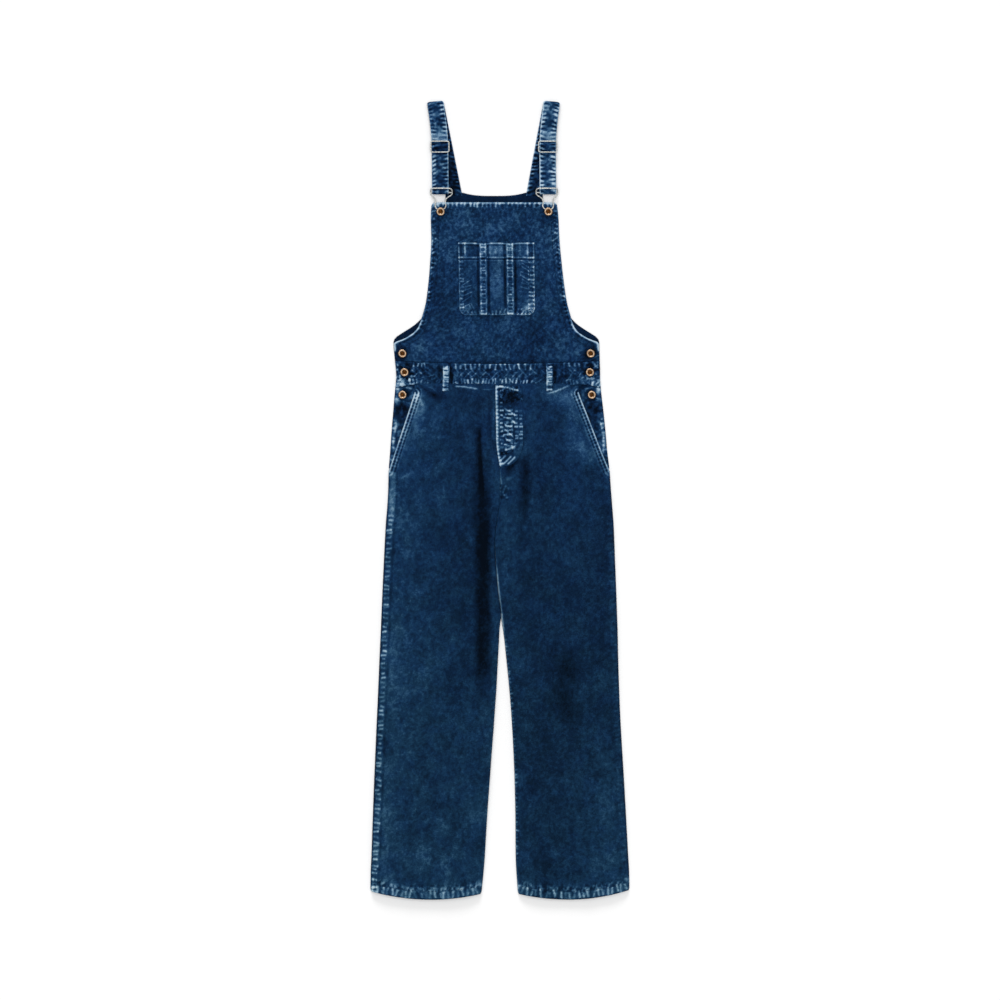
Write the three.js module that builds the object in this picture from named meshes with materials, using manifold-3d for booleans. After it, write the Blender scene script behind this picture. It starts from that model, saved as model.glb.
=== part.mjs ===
// Bib overalls laid flat on their back: the straps are folded over at the shoulder, run down the
// front through a slider and hook over the bib's buttons. Millimetres. X runs across the garment
// towards the wearer's left, Y from the hems to the straps, Z up from the surface it lies on.
// Every height in a table is measured up the garment from the lowest point of the hems, and every
// distance across is measured from the garment's middle line, before the lay is applied.
import * as THREE from "three";
import { mergeVertices } from "three/addons/utils/BufferGeometryUtils.js";
import Module from "manifold-3d";

// ---- Driving sizes ----
const CLOTH = 1.5; // one wall of cloth
const GAP = 0.3; // between pieces at a seam, and between layers that lie on each other
const LAYER = CLOTH + GAP;
const BAND = 3.2; // waistband, two layers and its seam allowances
const HEM_DEPTH = 14; // turned-up hem of a leg
const HEM_EXTRA = 0.8; // what the turning adds to the wall
const HEM_RISE = { inner: 9, left: 15.6, right: 13.5 }; // above its lowest point, at a leg's ends
const WAIST_SEAM = 901; // top of the legs
const WAIST_TOP = 943; // top of the waistband
const SIDE_TOP = 973; // top of the side opening
const BIB_TOP = 1225.5;
const BIB_CORNER = 6; // rounding of the front bib's top corners
const NECK = 1243; // top corners of the back bib, where the straps are sewn on
const NECK_DIP = 6; // how far the back neckline drops between them
const LEG_LOFT = 3.4; // how far the front of a leg stands off its back
const BIB_LOFT = 1.5;
const BAND_LOFT = 1.0;
const EDGE_RISE = 45; // width over which cloth rises from an outline to its full loft

const STRAP_HALF = 14.5;
const STRAP = 1.8; // wall of a strap, sewn from two layers
const STRAP_ROOT_X = 70.4; // middle of a strap where it leaves the back bib
const STRAP_FOLD = { x: 102, up: 1399.5 }; // middle of its fold over the shoulder
const STRAP_HANG_X = 94.6; // middle of the front strap below the slider
const FOLD_TILT = 0.125; // slope of the shoulder fold: it rises towards the neck

const WIRE = 1.1; // radius of the buckle's wire
const SLIDER_WIRE = 1;
const SLIDER = { up: 1323, halfWidth: 15.9, halfHeight: 9.6, corner: 3 };
const BUTTON = { radius: 7.4, rim: 2.4, post: 1.8, up: 1208.6 };

// ---- Tables: a row for each section or feature ----
// Half the width of the whole outline.
const OUTLINE = [
  { up: 0, half: 228 },
  { up: 45, half: 227.5 },
  { up: 75, half: 226 },
  { up: 185, half: 221 },
  { up: 355, half: 212.6 },
  { up: 520, half: 206.6 },
  { up: 600, half: 203.2 },
  { up: 657, half: 200.6 },
  { up: 690, half: 198 },
  { up: 720, half: 196 },
  { up: 753, half: 194.4 },
  { up: 790, half: 190.8 },
  { up: 815, half: 188.9 },
  { up: 868, half: 184 },
  { up: 895, half: 181.2 },
  { up: 920, half: 179.4 },
  { up: 945, half: 180 },
  { up: 980, half: 181 },
];
// Half the space between the legs and its middle; above the crotch it is the centre-front seam.
const INSEAM = [
  { up: 0, half: 33, middle: -0.8 },
  { up: 70, half: 27.4, middle: 0.6 },
  { up: 140, half: 25, middle: 3 },
  { up: 225, half: 21, middle: 5.8 },
  { up: 320, half: 15, middle: 7.6 },
  { up: 352, half: 12.7, middle: 7.5 },
  { up: 455, half: 4.7, middle: 4.6 },
  { up: 474, half: 3, middle: 3.6 },
  { up: 484, half: 1.8, middle: 3.2 },
  { up: 497, half: 0.4, middle: 3.2 },
  { up: 540, half: 0.4, middle: -2 },
  { up: 592, half: 0.4, middle: -6.6 },
  { up: 628, half: 0.4, middle: -8.4 },
  { up: 667, half: 0.4, middle: -4.6 },
  { up: 700, half: 0.3, middle: 0.3 },
  { up: 742, half: 0.15, middle: 1.4 },
  { up: 764, half: 0.15, middle: 0.2 },
  { up: 785, half: 0.15, middle: -3 },
  { up: 808, half: 0.15, middle: -4.7 },
  { up: WAIST_SEAM, half: 0.15, middle: -5.2 },
];
// How far the garment drifts sideways as it lies.
const DRIFT = [
  { up: 0, shift: 0 },
  { up: 60, shift: -0.2 },
  { up: 140, shift: -0.9 },
  { up: 225, shift: -1.7 },
  { up: 320, shift: -2.4 },
  { up: 400, shift: -2.2 },
  { up: 480, shift: -1.4 },
  { up: 600, shift: -0.9 },
  { up: 690, shift: -0.4 },
  { up: 745, shift: -1.3 },
  { up: 790, shift: -2.3 },
  { up: 850, shift: -2.8 },
  { up: 895, shift: -3.5 },
  { up: 920, shift: -3.3 },
  { up: 947, shift: -4.7 },
  { up: 975, shift: -6.3 },
  { up: 1000, shift: -6.6 },
  { up: 1035, shift: -6.2 },
  { up: 1095, shift: -6.9 },
  { up: 1150, shift: -7.9 },
  { up: BIB_TOP, shift: -10.1 },
  { up: 1400, shift: -11.4 },
];
// Half the width of the front bib: side tab, armhole curve, then the nearly straight side.
const FRONT_BIB = [
  { up: WAIST_TOP, half: 180 },
  { up: SIDE_TOP, half: 180.6 },
  { up: 979.6, half: 178.5 },
  { up: 983.6, half: 167.7 },
  { up: 988, half: 158 },
  { up: 994.3, half: 148.3 },
  { up: 999.6, half: 141.8 },
  { up: 1010, half: 135.6 },
  { up: 1028, half: 129.8 },
  { up: 1049, half: 124.2 },
  { up: 1070, half: 121 },
  { up: 1112, half: 116.4 },
  { up: 1165, half: 112.7 },
  { up: 1195, half: 112.4 },
  { up: BIB_TOP - BIB_CORNER, half: 110.6 },
  { up: BIB_TOP - 2.6, half: 109 },
  { up: BIB_TOP - 0.8, half: 107.2 },
  { up: BIB_TOP, half: 104.5 },
];
// The back bib rises higher at the side and narrows to the straps.
const BACK_BIB = [
  { up: WAIST_TOP, half: 180 },
  { up: 979, half: 181 },
  { up: 983, half: 180.4 },
  { up: 986.5, half: 178 },
  { up: 990, half: 174.6 },
  { up: 997, half: 163.5 },
  { up: 1004, half: 152.5 },
  { up: 1011, half: 142.5 },
  { up: 1025, half: 129.5 },
  { up: 1050, half: 118 },
  { up: 1095, half: 104.5 },
  { up: 1150, half: 93 },
  { up: 1200, half: 86 },
  { up: NECK, half: 85.6 },
];
// Slanting edge of each hip pocket, from the middle line; the lay leaves the right one more open.
const POCKET_EDGE = [
  { up: 753, left: 194, right: 194 },
  { up: 890, left: 142, right: 147 },
];
const FACING_LAP = 11; // how far a pocket's facing runs in under its edge
// Soft troughs in the front of the legs, x on the wearer's left when positive.
const CREASES = [
  { x: -28, low: 430, high: 835, width: 10, depth: 3.2 }, // beside the inseam and fly
  { x: 128, low: 270, high: 430, width: 16, depth: 1.4 },
  { x: 79, low: 730, high: 885, width: 14, depth: 1.1 },
];
const BIB_POCKET = {
  middle: 1.2,
  half: 67,
  low: 1026.5,
  high: 1154.5,
  corner: 13,
  hem: 26.4,
  strip: 23.5, // middle of each pen-slot strip from the pocket's middle
  stripHalf: 6.8,
};
const FLY = { half: 48.5, low: 761, curveFrom: 812 };
const LOOP = { left: 90.6, right: -91.4, half: 5.8, low: 893.5, high: 939, wall: 1.3 };
const SIDE_BUTTONS = [
  { row: 1, up: 959.5, left: 164.8, right: -166 },
  { row: 2, up: 926.5, left: 161.4, right: -164.4 },
  { row: 3, up: 887, left: 164.8, right: -168 },
];
// The front strap below the shoulder fold: middle of its wall, above the surface.
const STRAP_FALL = [
  { up: 1392, x: 101.2, z: 5.1 },
  { up: 1376, x: 99, z: 5.1 },
  { up: 1358, x: 96.9, z: 5.1 },
  { up: 1344, x: 95.6, z: 5.1 },
  { up: 1336, x: 95.2, z: 5.1 },
  { up: 1331, x: 95, z: 5.1 }, // under the slider's top bar
  { up: 1327, x: 94.9, z: 7.6 },
  { up: 1323, x: 94.8, z: 9.6 }, // over its middle bar
  { up: 1319, x: 94.7, z: 7.6 },
  { up: 1315, x: 94.6, z: 5.1 }, // under its bottom bar
  { up: 1310, x: 94.6, z: 5.1 },
  { up: 1290, x: 94.6, z: 5.1 },
  { up: 1270, x: 94.6, z: 5.1 },
  { up: 1259, x: 94.6, z: 5.7 },
  { up: 1250, x: 94.6, z: 7.1 }, // under the buckle's front bar
];
// The strap's return, from the buckle up to the slider's middle bar.
const STRAP_RETURN = [
  { up: 1255, x: 94.6, z: 3.2 },
  { up: 1275, x: 94.6, z: 3 },
  { up: 1300, x: 94.6, z: 3 },
  { up: 1315, x: 94.6, z: 3 },
  { up: 1318, x: 94.6, z: 4 },
  { up: 1321.4, x: 94.7, z: 5.1 },
];
// The buckle from its front bar round the eye to the seat under the button: how far its wire lies
// from the strap's middle on the side away from the neck and on the side towards it.
const BUCKLE = [
  { outer: 12, inner: 14, up: 1249.5, z: 9.6 },
  { outer: 16, inner: 18.4, up: 1248.6, z: 9.1 },
  { outer: 17, inner: 20.8, up: 1245.3, z: 7.4 },
  { outer: 17.2, inner: 20.9, up: 1241.5, z: 6.2 },
  { outer: 16, inner: 18.6, up: 1237.6, z: 5.8 },
  { outer: 12.6, inner: 13.6, up: 1234.4, z: 5.8 },
  { outer: 9.2, inner: 9.4, up: 1230, z: 5.8 },
  { outer: 8.6, inner: 8.6, up: 1225, z: 5.8 },
  { outer: 9.4, inner: 9.6, up: 1220, z: 5.8 },
  { outer: 8, inner: 8, up: 1215.4, z: 5.8 },
  { outer: 4.6, inner: 4.6, up: 1212.2, z: 5.8 },
  { outer: 3.4, inner: 3.4, up: 1208.6, z: 5.8 },
  { outer: 2.4, inner: 2.4, up: 1206.2, z: 5.8 },
];
const BUCKLE_BAR = { up: 1242.5, z: 6, outer: 16.8, inner: 20.4 }; // inside the strap's loop

// ---- Small mathematics ----
const clamp = (v) => Math.min(1, Math.max(0, v));
const smooth = (v) => clamp(v) ** 2 * (3 - 2 * clamp(v));
const mix = (a, b, t) => a + (b - a) * t;
const range = (count) => Array.from({ length: count + 1 }, (_, i) => i / count);

// A smooth function of up through one column of a table, without overshoot.
function through(table, column) {
  const ups = table.map((row) => row.up);
  const values = table.map((row) => row[column]);
  const slopes = ups.slice(1).map((up, i) => (values[i + 1] - values[i]) / (up - ups[i]));
  const tangents = values.map((_, i) => {
    if (i === 0) return slopes[0];
    if (i === slopes.length) return slopes[i - 1];
    if (slopes[i - 1] * slopes[i] <= 0) return 0;
    return (2 * slopes[i - 1] * slopes[i]) / (slopes[i - 1] + slopes[i]);
  });
  return (up) => {
    if (up <= ups[0]) return values[0];
    if (up >= ups[ups.length - 1]) return values[values.length - 1];
    const i = ups.findIndex((next) => next > up) - 1;
    const step = ups[i + 1] - ups[i];
    const t = (up - ups[i]) / step;
    const ease = t * t * (3 - 2 * t);
    const start = t * (1 - t) ** 2 * step * tangents[i];
    const end = t * t * (t - 1) * step * tangents[i + 1];
    return mix(values[i], values[i + 1], ease) + start + end;
  };
}

const outline = through(OUTLINE, "half");
const inseamHalf = through(INSEAM, "half");
const inseamMiddle = through(INSEAM, "middle");
const drift = through(DRIFT, "shift");
const frontBib = through(FRONT_BIB, "half");
const backBib = through(BACK_BIB, "half");

// ---- Form of the cloth ----
// How far a hip pocket's edge lies from the middle line.
function pocketEdge(up, name) {
  const [low, high] = POCKET_EDGE;
  return mix(low[name], high[name], clamp((up - low.up) / (high.up - low.up)));
}

function creaseDepth(x, up) {
  return CREASES.reduce((sum, crease) => {
    const along = (up - crease.low) / (crease.high - crease.low);
    const across = 1 - smooth(Math.abs(x - crease.x) / crease.width);
    return sum + crease.depth * across * smooth(4 * along) * smooth(4 * (1 - along));
  }, 0);
}

// Underside of the front of the legs and hips.
function legUnder(x, up) {
  const outer = smooth((outline(up) - Math.abs(x)) / EDGE_RISE);
  const inner = smooth((Math.abs(x - inseamMiddle(up)) - inseamHalf(up)) / EDGE_RISE);
  const joined = smooth((up - 620) / 130); // above the crotch the front is one surface
  const settled = mix(1, 0.55, smooth((up - 830) / (WAIST_SEAM - 830)));
  const loft = LEG_LOFT * outer * mix(inner, 1, joined) * settled;
  const inside = pocketEdge(up, x > 0 ? "left" : "right") - Math.abs(x);
  const overFacing = LAYER * smooth((up - 745) / 12) * (1 - smooth((inside - 16) / 16));
  const lift = Math.max(loft - creaseDepth(x, up), up > 745 ? overFacing : 0, 0);
  return LAYER + lift;
}
const legTop = (x, up) => legUnder(x, up) + CLOTH;

function bibUnder(x, up) {
  return LAYER + BIB_LOFT * smooth((frontBib(up) - Math.abs(x)) / EDGE_RISE);
}
const bibTop = (x, up) => bibUnder(x, up) + CLOTH;

const bandUnder = (x, up) => LAYER + BAND_LOFT * smooth((outline(up) - Math.abs(x)) / EDGE_RISE);
const bandTop = (x, up) => bandUnder(x, up) + BAND;

// ---- Builders ----
function indexed(positions, triangles) {
  const geometry = new THREE.BufferGeometry();
  geometry.setAttribute("position", new THREE.Float32BufferAttribute(positions, 3));
  geometry.setIndex(triangles);
  return geometry;
}

// A wall over a grid: at(across, row) gives x and up, and under and thick give its two faces.
function wall({ across, rows, at, under, thick }) {
  const low = [];
  const high = [];
  for (const row of rows)
    for (const fraction of across) {
      const [x, up] = at(fraction, row);
      const z = under(x, up, row);
      low.push(x, up, z);
      high.push(x, up, z + thick(x, up, row));
    }
  const width = across.length;
  const count = width * rows.length;
  const triangles = [];
  const quad = (a, b, c, d) => triangles.push(a, b, c, a, c, d);
  for (let i = 0; i < rows.length - 1; i++)
    for (let j = 0; j < width - 1; j++) {
      const a = i * width + j;
      quad(count + a, count + a + 1, count + a + width + 1, count + a + width);
      quad(a, a + width, a + width + 1, a + 1);
    }
  for (let j = 0; j < width - 1; j++) {
    const last = (rows.length - 1) * width + j;
    quad(j, j + 1, count + j + 1, count + j);
    quad(last + 1, last, count + last, count + last + 1);
  }
  for (let i = 0; i < rows.length - 1; i++) {
    const left = i * width;
    const right = left + width - 1;
    quad(left + width, left, count + left, count + left + width);
    quad(right, right + width, count + right + width, count + right);
  }
  return indexed([...low, ...high], triangles);
}

// A strip of cloth along stations of middle point and half-width vector.
function ribbon(stations, thickness) {
  const positions = [];
  const triangles = [];
  stations.forEach(({ middle, half }, i) => {
    const before = stations[Math.max(i - 1, 0)].middle;
    const after = stations[Math.min(i + 1, stations.length - 1)].middle;
    const along = after.clone().sub(before);
    const lift = half.clone().cross(along).setLength(thickness / 2);
    for (const [side, face] of [[-1, -1], [1, -1], [1, 1], [-1, 1]]) {
      const corner = middle.clone().addScaledVector(half, side).addScaledVector(lift, face);
      positions.push(...corner.toArray());
    }
  });
  for (let i = 0; i < stations.length - 1; i++)
    for (let k = 0; k < 4; k++) {
      const a = 4 * i + k;
      const b = 4 * i + ((k + 1) % 4);
      triangles.push(a, b + 4, b, a, a + 4, b + 4);
    }
  const end = 4 * (stations.length - 1);
  triangles.push(0, 1, 2, 0, 2, 3, end + 2, end + 1, end, end + 3, end + 2, end);
  return indexed(positions, triangles);
}

// A closed loop of round wire through points.
function wireLoop(points, radius, steps, sides = 6) {
  const curve = new THREE.CatmullRomCurve3(points, true);
  const path = curve.getSpacedPoints(steps).slice(0, steps);
  const positions = [];
  const triangles = [];
  const up = new THREE.Vector3(0, 0, 1);
  path.forEach((point, i) => {
    const along = path[(i + 1) % steps].clone().sub(path[(i + steps - 1) % steps]).normalize();
    const sideways = along.clone().cross(up).normalize();
    const upwards = sideways.clone().cross(along);
    for (let k = 0; k < sides; k++) {
      const angle = (2 * Math.PI * k) / sides;
      const spoke = sideways.clone().multiplyScalar(radius * Math.cos(angle));
      spoke.addScaledVector(upwards, radius * Math.sin(angle));
      positions.push(...point.clone().add(spoke).toArray());
      const a = i * sides + k;
      const b = i * sides + ((k + 1) % sides);
      const next = ((i + 1) % steps) * sides;
      const far = next + ((k + 1) % sides);
      triangles.push(a, far, b, a, next + k, far);
    }
  });
  return indexed(positions, triangles);
}

function crossBar(x, up, z, half, radius) {
  const bar = new THREE.CylinderGeometry(radius, radius, 2 * half, 6);
  return bar.rotateZ(Math.PI / 2).translate(x, up, z);
}

// ---- Joins, made with manifold-3d ----
const wasm = await Module();
wasm.setup();

function solid(geometry) {
  const bare = geometry.clone();
  bare.deleteAttribute("normal");
  bare.deleteAttribute("uv");
  const merged = mergeVertices(bare, 1e-3);
  const mesh = new wasm.Mesh({
    numProp: 3,
    vertProperties: merged.attributes.position.array,
    triVerts: new Uint32Array(merged.index.array),
  });
  return new wasm.Manifold(mesh);
}

function joined(...geometries) {
  const made = geometries.map(solid).reduce((sum, next) => sum.add(next)).getMesh();
  return indexed([...made.vertProperties], [...made.triVerts]);
}

// ---- Placing ----
const overalls = new THREE.Group();

function mirrored(geometry) {
  const copy = geometry.clone().scale(-1, 1, 1);
  const turned = [];
  for (let i = 0; i < copy.index.count; i += 3)
    turned.push(copy.index.getX(i), copy.index.getX(i + 2), copy.index.getX(i + 1));
  copy.setIndex(turned);
  return copy;
}

// Adds one named piece, moved sideways as the garment lies.
function piece(name, geometry, material) {
  const laid = geometry.clone();
  const position = laid.getAttribute("position");
  for (let i = 0; i < position.count; i++)
    position.setX(i, position.getX(i) + drift(position.getY(i)));
  const mesh = new THREE.Mesh(laid, material);
  mesh.name = name;
  overalls.add(mesh);
}

// Adds a piece on the wearer's left and its mirror image on the right.
function pair(name, geometry, material) {
  piece(`${name}_left`, geometry, material);
  piece(`${name}_right`, mirrored(geometry), material);
}

const cloth = (color) => new THREE.MeshStandardMaterial({ color, roughness: 0.9, metalness: 0 });
const denim = cloth(0x14304f);
const denimFaded = cloth(0x2c4d70);
const denimInside = cloth(0x0c1c30);
const copper = new THREE.MeshStandardMaterial({ color: 0xb98a5e, roughness: 0.35, metalness: 1 });
const nickel = new THREE.MeshStandardMaterial({ color: 0xc9bdb2, roughness: 0.3, metalness: 1 });

// ---- Legs ----
// The hem hangs lowest a little inside its middle; from is 0 at the inseam and 1 at the outside.
function hemRise(from, outer) {
  const lowest = 0.45;
  if (from < lowest) return HEM_RISE.inner * (1 - from / lowest) ** 2;
  return outer * ((from - lowest) / (1 - lowest)) ** 2;
}

// Fractions across a leg, close together beside the creases given by their own x.
const LEG_COLUMNS = [0, 0.04, 0.09, 0.14, 0.19, 0.26, 0.36, 0.5, 0.65, 0.8, 0.92, 1];
const LEG_ROWS = [
  0, HEM_DEPTH, HEM_DEPTH + 1, 60, 130, 200, 270, 310, 352, 390, 430, 458, 475, 492, 540, 600, 650,
  706, 742, POCKET_EDGE[0].up, 764, 785, 815, 845, 870, 890, WAIST_SEAM - GAP,
];
const BACK_LEG_ROWS = [
  0, 60, 130, 270, 352, 410, 458, 492, 600, 706, 742, 764, 815, 880, WAIST_SEAM - GAP,
];

// A leg from its inseam to outer(up), on one side: +1 is the wearer's left.
function leg(side, across, rows, outer, under, thick) {
  return wall({
    across: side > 0 ? across : across.map((fraction) => 1 - fraction).reverse(),
    rows,
    at(fraction, row) {
      const inner = inseamMiddle(row) + side * inseamHalf(row);
      const outside = side * outer(row);
      const from = side > 0 ? fraction : 1 - fraction;
      const ends = side > 0 ? HEM_RISE.left : HEM_RISE.right;
      const rise = hemRise(from, ends) * clamp(1 - row / 130);
      return [mix(inner, outside, from), row + rise];
    },
    under,
    thick,
  });
}

// The front stops at the pocket's edge between the pocket's two ends.
const hemmed = (x, up, row) => CLOTH + (row <= HEM_DEPTH ? HEM_EXTRA : 0);

for (const [side, name] of [[1, "left"], [-1, "right"]]) {
  const edge = (up) => (up > POCKET_EDGE[0].up ? pocketEdge(up, name) : Infinity);
  const outer = (up) => Math.min(outline(up), edge(up));
  piece(`leg_front_${name}`, leg(side, LEG_COLUMNS, LEG_ROWS, outer, legUnder, hemmed), denim);
  piece(
    `leg_back_${name}`,
    leg(side, range(3), BACK_LEG_ROWS, outline, () => 0, () => CLOTH),
    denimInside,
  );
}

// Facing behind a hip pocket, from the side seam to just under the pocket's edge.
function facing(name) {
  return wall({
    across: range(3),
    rows: [758, 775, 800, 830, 860, 880, WAIST_SEAM - GAP],
    at: (fraction, up) => [
      mix(pocketEdge(up, name) - FACING_LAP * smooth((up - 750) / 40), outline(up), fraction),
      up,
    ],
    under: () => LAYER,
    thick: () => CLOTH,
  });
}
piece("pocket_facing_left", facing("left"), denimInside);
piece("pocket_facing_right", mirrored(facing("right")), denimInside);

// ---- Waistband, front and back ----
const BAND_COLUMNS = range(20);
function band(rows, under, thick) {
  return wall({
    across: BAND_COLUMNS,
    rows,
    at: (fraction, up) => [mix(-outline(up), outline(up), fraction), up],
    under,
    thick,
  });
}
const BAND_ROWS = [WAIST_SEAM, (WAIST_SEAM + WAIST_TOP) / 2, WAIST_TOP - GAP];
piece("waistband_front", band(BAND_ROWS, bandUnder, () => BAND), denimFaded);
piece("waistband_back", band([WAIST_SEAM, WAIST_TOP - GAP], () => 0, () => CLOTH), denimInside);

// ---- Bibs ----
piece(
  "bib_front",
  wall({
    across: [0, 0.08, 0.18, 0.32, 0.5, 0.68, 0.82, 0.92, 1],
    rows: [
      WAIST_TOP, SIDE_TOP, 977, 979.6, 981.6, 983.6, 988, 994.3, 999.6, 1004.5, 1010, 1018, 1028, 1049,
      1070, 1112, 1165, 1195, BIB_TOP - BIB_CORNER, BIB_TOP - 2.6, BIB_TOP - 0.8, BIB_TOP,
    ],
    at: (fraction, up) => [mix(-frontBib(up), frontBib(up), fraction), up],
    under: bibUnder,
    thick: () => CLOTH,
  }),
  denim,
);

const neckHalf = STRAP_ROOT_X - STRAP_HALF;
const neckDip = (x) => NECK_DIP * clamp(1 - Math.abs(x / neckHalf) ** 3);
piece(
  "bib_back",
  wall({
    across: [0, 0.175, 0.25, 0.36, 0.5, 0.64, 0.75, 0.825, 1],
    rows: [
      WAIST_TOP, 979, 983, 986.5, 990, 993.5, 997, 1004, 1011, 1018, 1025, 1037, 1050, 1095, 1150, 1200,
      NECK,
    ],
    at(fraction, row) {
      const x = mix(-backBib(row), backBib(row), fraction);
      return [x, row - neckDip(x) * smooth((row - 1150) / (NECK - 1150))];
    },
    under: () => 0,
    thick: () => CLOTH,
  }),
  denimInside,
);

// ---- Bib pocket with its pen-slot strips ----
// Half the pocket's width, drawn in round its two lower corners.
function pocketHalf(up) {
  const below = clamp((BIB_POCKET.low + BIB_POCKET.corner - up) / BIB_POCKET.corner);
  return BIB_POCKET.half - BIB_POCKET.corner * (1 - Math.sqrt(1 - below ** 2));
}
const pocketWall = (x, up) => (up > BIB_POCKET.high - BIB_POCKET.hem ? LAYER : CLOTH);
const pocketCorner = [0, 0.1, 0.3, 0.6, 1].map((t) => BIB_POCKET.low + t * BIB_POCKET.corner);
const pocketHemLine = BIB_POCKET.high - BIB_POCKET.hem;
piece(
  "bib_pocket",
  wall({
    across: range(8),
    rows: [...pocketCorner, 1075, 1105, pocketHemLine, pocketHemLine + 1, BIB_POCKET.high],
    at: (fraction, up) => [BIB_POCKET.middle + mix(-1, 1, fraction) * pocketHalf(up), up],
    under: (x, up) => bibTop(x, up) + GAP,
    thick: pocketWall,
  }),
  denim,
);
for (const [side, name] of [[1, "left"], [-1, "right"]])
  piece(
    `pocket_strip_${name}`,
    wall({
      across: range(1),
      rows: [BIB_POCKET.low + 1, 1050, 1078, 1105, pocketHemLine, pocketHemLine + 1, BIB_POCKET.high],
      at: (fraction, up) => [
        BIB_POCKET.middle + side * BIB_POCKET.strip + mix(-1, 1, fraction) * BIB_POCKET.stripHalf,
        up,
      ],
      under: (x, up) => bibTop(x, up) + GAP + pocketWall(x, up) + GAP,
      thick: () => CLOTH - GAP,
    }),
    denimFaded,
  );

// ---- Fly: its edge on the centre-front seam, its outer line curving in to the bottom ----
function flyHalf(up) {
  const below = clamp((FLY.curveFrom - up) / (FLY.curveFrom - FLY.low));
  return 7 + (FLY.half - 7) * Math.sqrt(1 - below ** 2);
}
piece(
  "fly",
  wall({
    across: range(3),
    rows: [FLY.low + 0.6, 765, 772, 782, 795, 812, 835, 858, 880, WAIST_SEAM - GAP],
    at: (fraction, up) => [inseamMiddle(up) + mix(0.4, flyHalf(up), fraction), up],
    under: (x, up) => legTop(x, up) + GAP,
    thick: () => CLOTH - GAP,
  }),
  denimFaded,
);

// ---- Belt loops: from the hip, over the waistband, to its top edge ----
const loopFoot = legTop(LOOP.left, LOOP.low) + GAP;
const loopOver = bandTop(LOOP.left, WAIST_SEAM) + GAP;
const LOOP_HEIGHTS = [
  { up: LOOP.low, z: loopFoot },
  { up: WAIST_SEAM - 5.5, z: loopFoot + 0.2 },
  { up: WAIST_SEAM - 2.6, z: loopOver },
  { up: WAIST_SEAM + 10, z: loopOver + 0.9 },
  { up: WAIST_TOP - 14, z: loopOver + 0.9 },
  { up: LOOP.high, z: loopOver },
];
for (const name of ["left", "right"])
  piece(
    `belt_loop_${name}`,
    wall({
      across: range(1),
      rows: LOOP_HEIGHTS,
      at: (fraction, row) => [LOOP[name] + mix(-LOOP.half, LOOP.half, fraction), row.up],
      under: (x, up, row) => row.z,
      thick: () => LOOP.wall,
    }),
    denimFaded,
  );

// ---- Straps ----
const vector = (x, up, z) => new THREE.Vector3(x, up, z);

// Stations of a half turn from the lower layer to the upper one, beyond a fold line.
function halfTurn(centre, outwards, half, from, to, steps) {
  const radius = (to - from) / 2;
  return range(steps).map((t) => {
    const angle = Math.PI * t;
    const middle = centre.clone().addScaledVector(outwards, radius * Math.sin(angle));
    middle.z = (from + to) / 2 - radius * Math.cos(angle);
    return { middle, half };
  });
}

function strap() {
  const back = STRAP / 2;
  const root = vector(STRAP_ROOT_X, NECK + GAP, back);
  const foldHalf = vector(-STRAP_HALF, STRAP_HALF * FOLD_TILT, 0);
  const outwards = vector(FOLD_TILT, 1, 0).normalize();
  const square = vector(-STRAP_HALF, 0, 0);
  const fold = vector(STRAP_FOLD.x, STRAP_FOLD.up, back);
  const rise = [0, 0.3, 0.6, 0.85].map((t) => ({
    middle: root.clone().lerp(fold, t),
    half: square.clone().lerp(foldHalf, t),
  }));
  const shoulder = halfTurn(fold, outwards, foldHalf, back, STRAP_FALL[0].z, 8);
  const fall = STRAP_FALL.map(({ up, x, z }) => ({
    middle: vector(x, up, z),
    half: square.clone().lerp(foldHalf, clamp((up - 1370) / 30)),
  }));
  const loopTop = BUCKLE_BAR.z + WIRE + GAP + STRAP / 2;
  const loopLow = BUCKLE_BAR.z - WIRE - GAP - STRAP / 2;
  const bar = vector(STRAP_HANG_X, BUCKLE_BAR.up, 0);
  const buckleTurn = halfTurn(bar, vector(0, -1, 0), square, loopLow, loopTop, 8).reverse();
  const back_up = STRAP_RETURN.map(({ up, x, z }) => ({ middle: vector(x, up, z), half: square }));
  return ribbon([...rise, ...shoulder, ...fall, ...buckleTurn, ...back_up], STRAP);
}
pair("strap", strap(), denimFaded);

// ---- Strap hardware ----
function slider() {
  const { halfWidth, halfHeight, corner, up } = SLIDER;
  const z = STRAP_FALL[0].z + STRAP / 2 + GAP + SLIDER_WIRE;
  const corners = [[1, 1], [-1, 1], [-1, -1], [1, -1]];
  const points = corners.flatMap(([sx, sy]) => {
    const turns = range(3).map((t) => {
      const angle = (Math.PI / 2) * (sx * sy > 0 ? t : 1 - t);
      const dx = halfWidth - corner * (1 - Math.cos(angle));
      const dy = halfHeight - corner * (1 - Math.sin(angle));
      return vector(STRAP_FALL[7].x + sx * dx, up + sy * dy, z);
    });
    return turns;
  });
  const frame = wireLoop(points, SLIDER_WIRE, 32);
  return joined(frame, crossBar(STRAP_FALL[7].x, up, z, halfWidth, SLIDER_WIRE));
}
pair("slider", slider(), nickel);

function buckle() {
  const outer = BUCKLE.map((p) => vector(STRAP_HANG_X + p.outer, p.up, p.z));
  const inner = BUCKLE.map((p) => vector(STRAP_HANG_X - p.inner, p.up, p.z)).reverse();
  const loop = wireLoop([...outer, vector(STRAP_HANG_X, 1205, 5.8), ...inner], WIRE, 52);
  const bar = BUCKLE_BAR;
  const middle = STRAP_HANG_X + (bar.outer - bar.inner) / 2;
  return joined(loop, crossBar(middle, bar.up, bar.z, (bar.outer + bar.inner) / 2, WIRE));
}
pair("buckle", buckle(), nickel);

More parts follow.
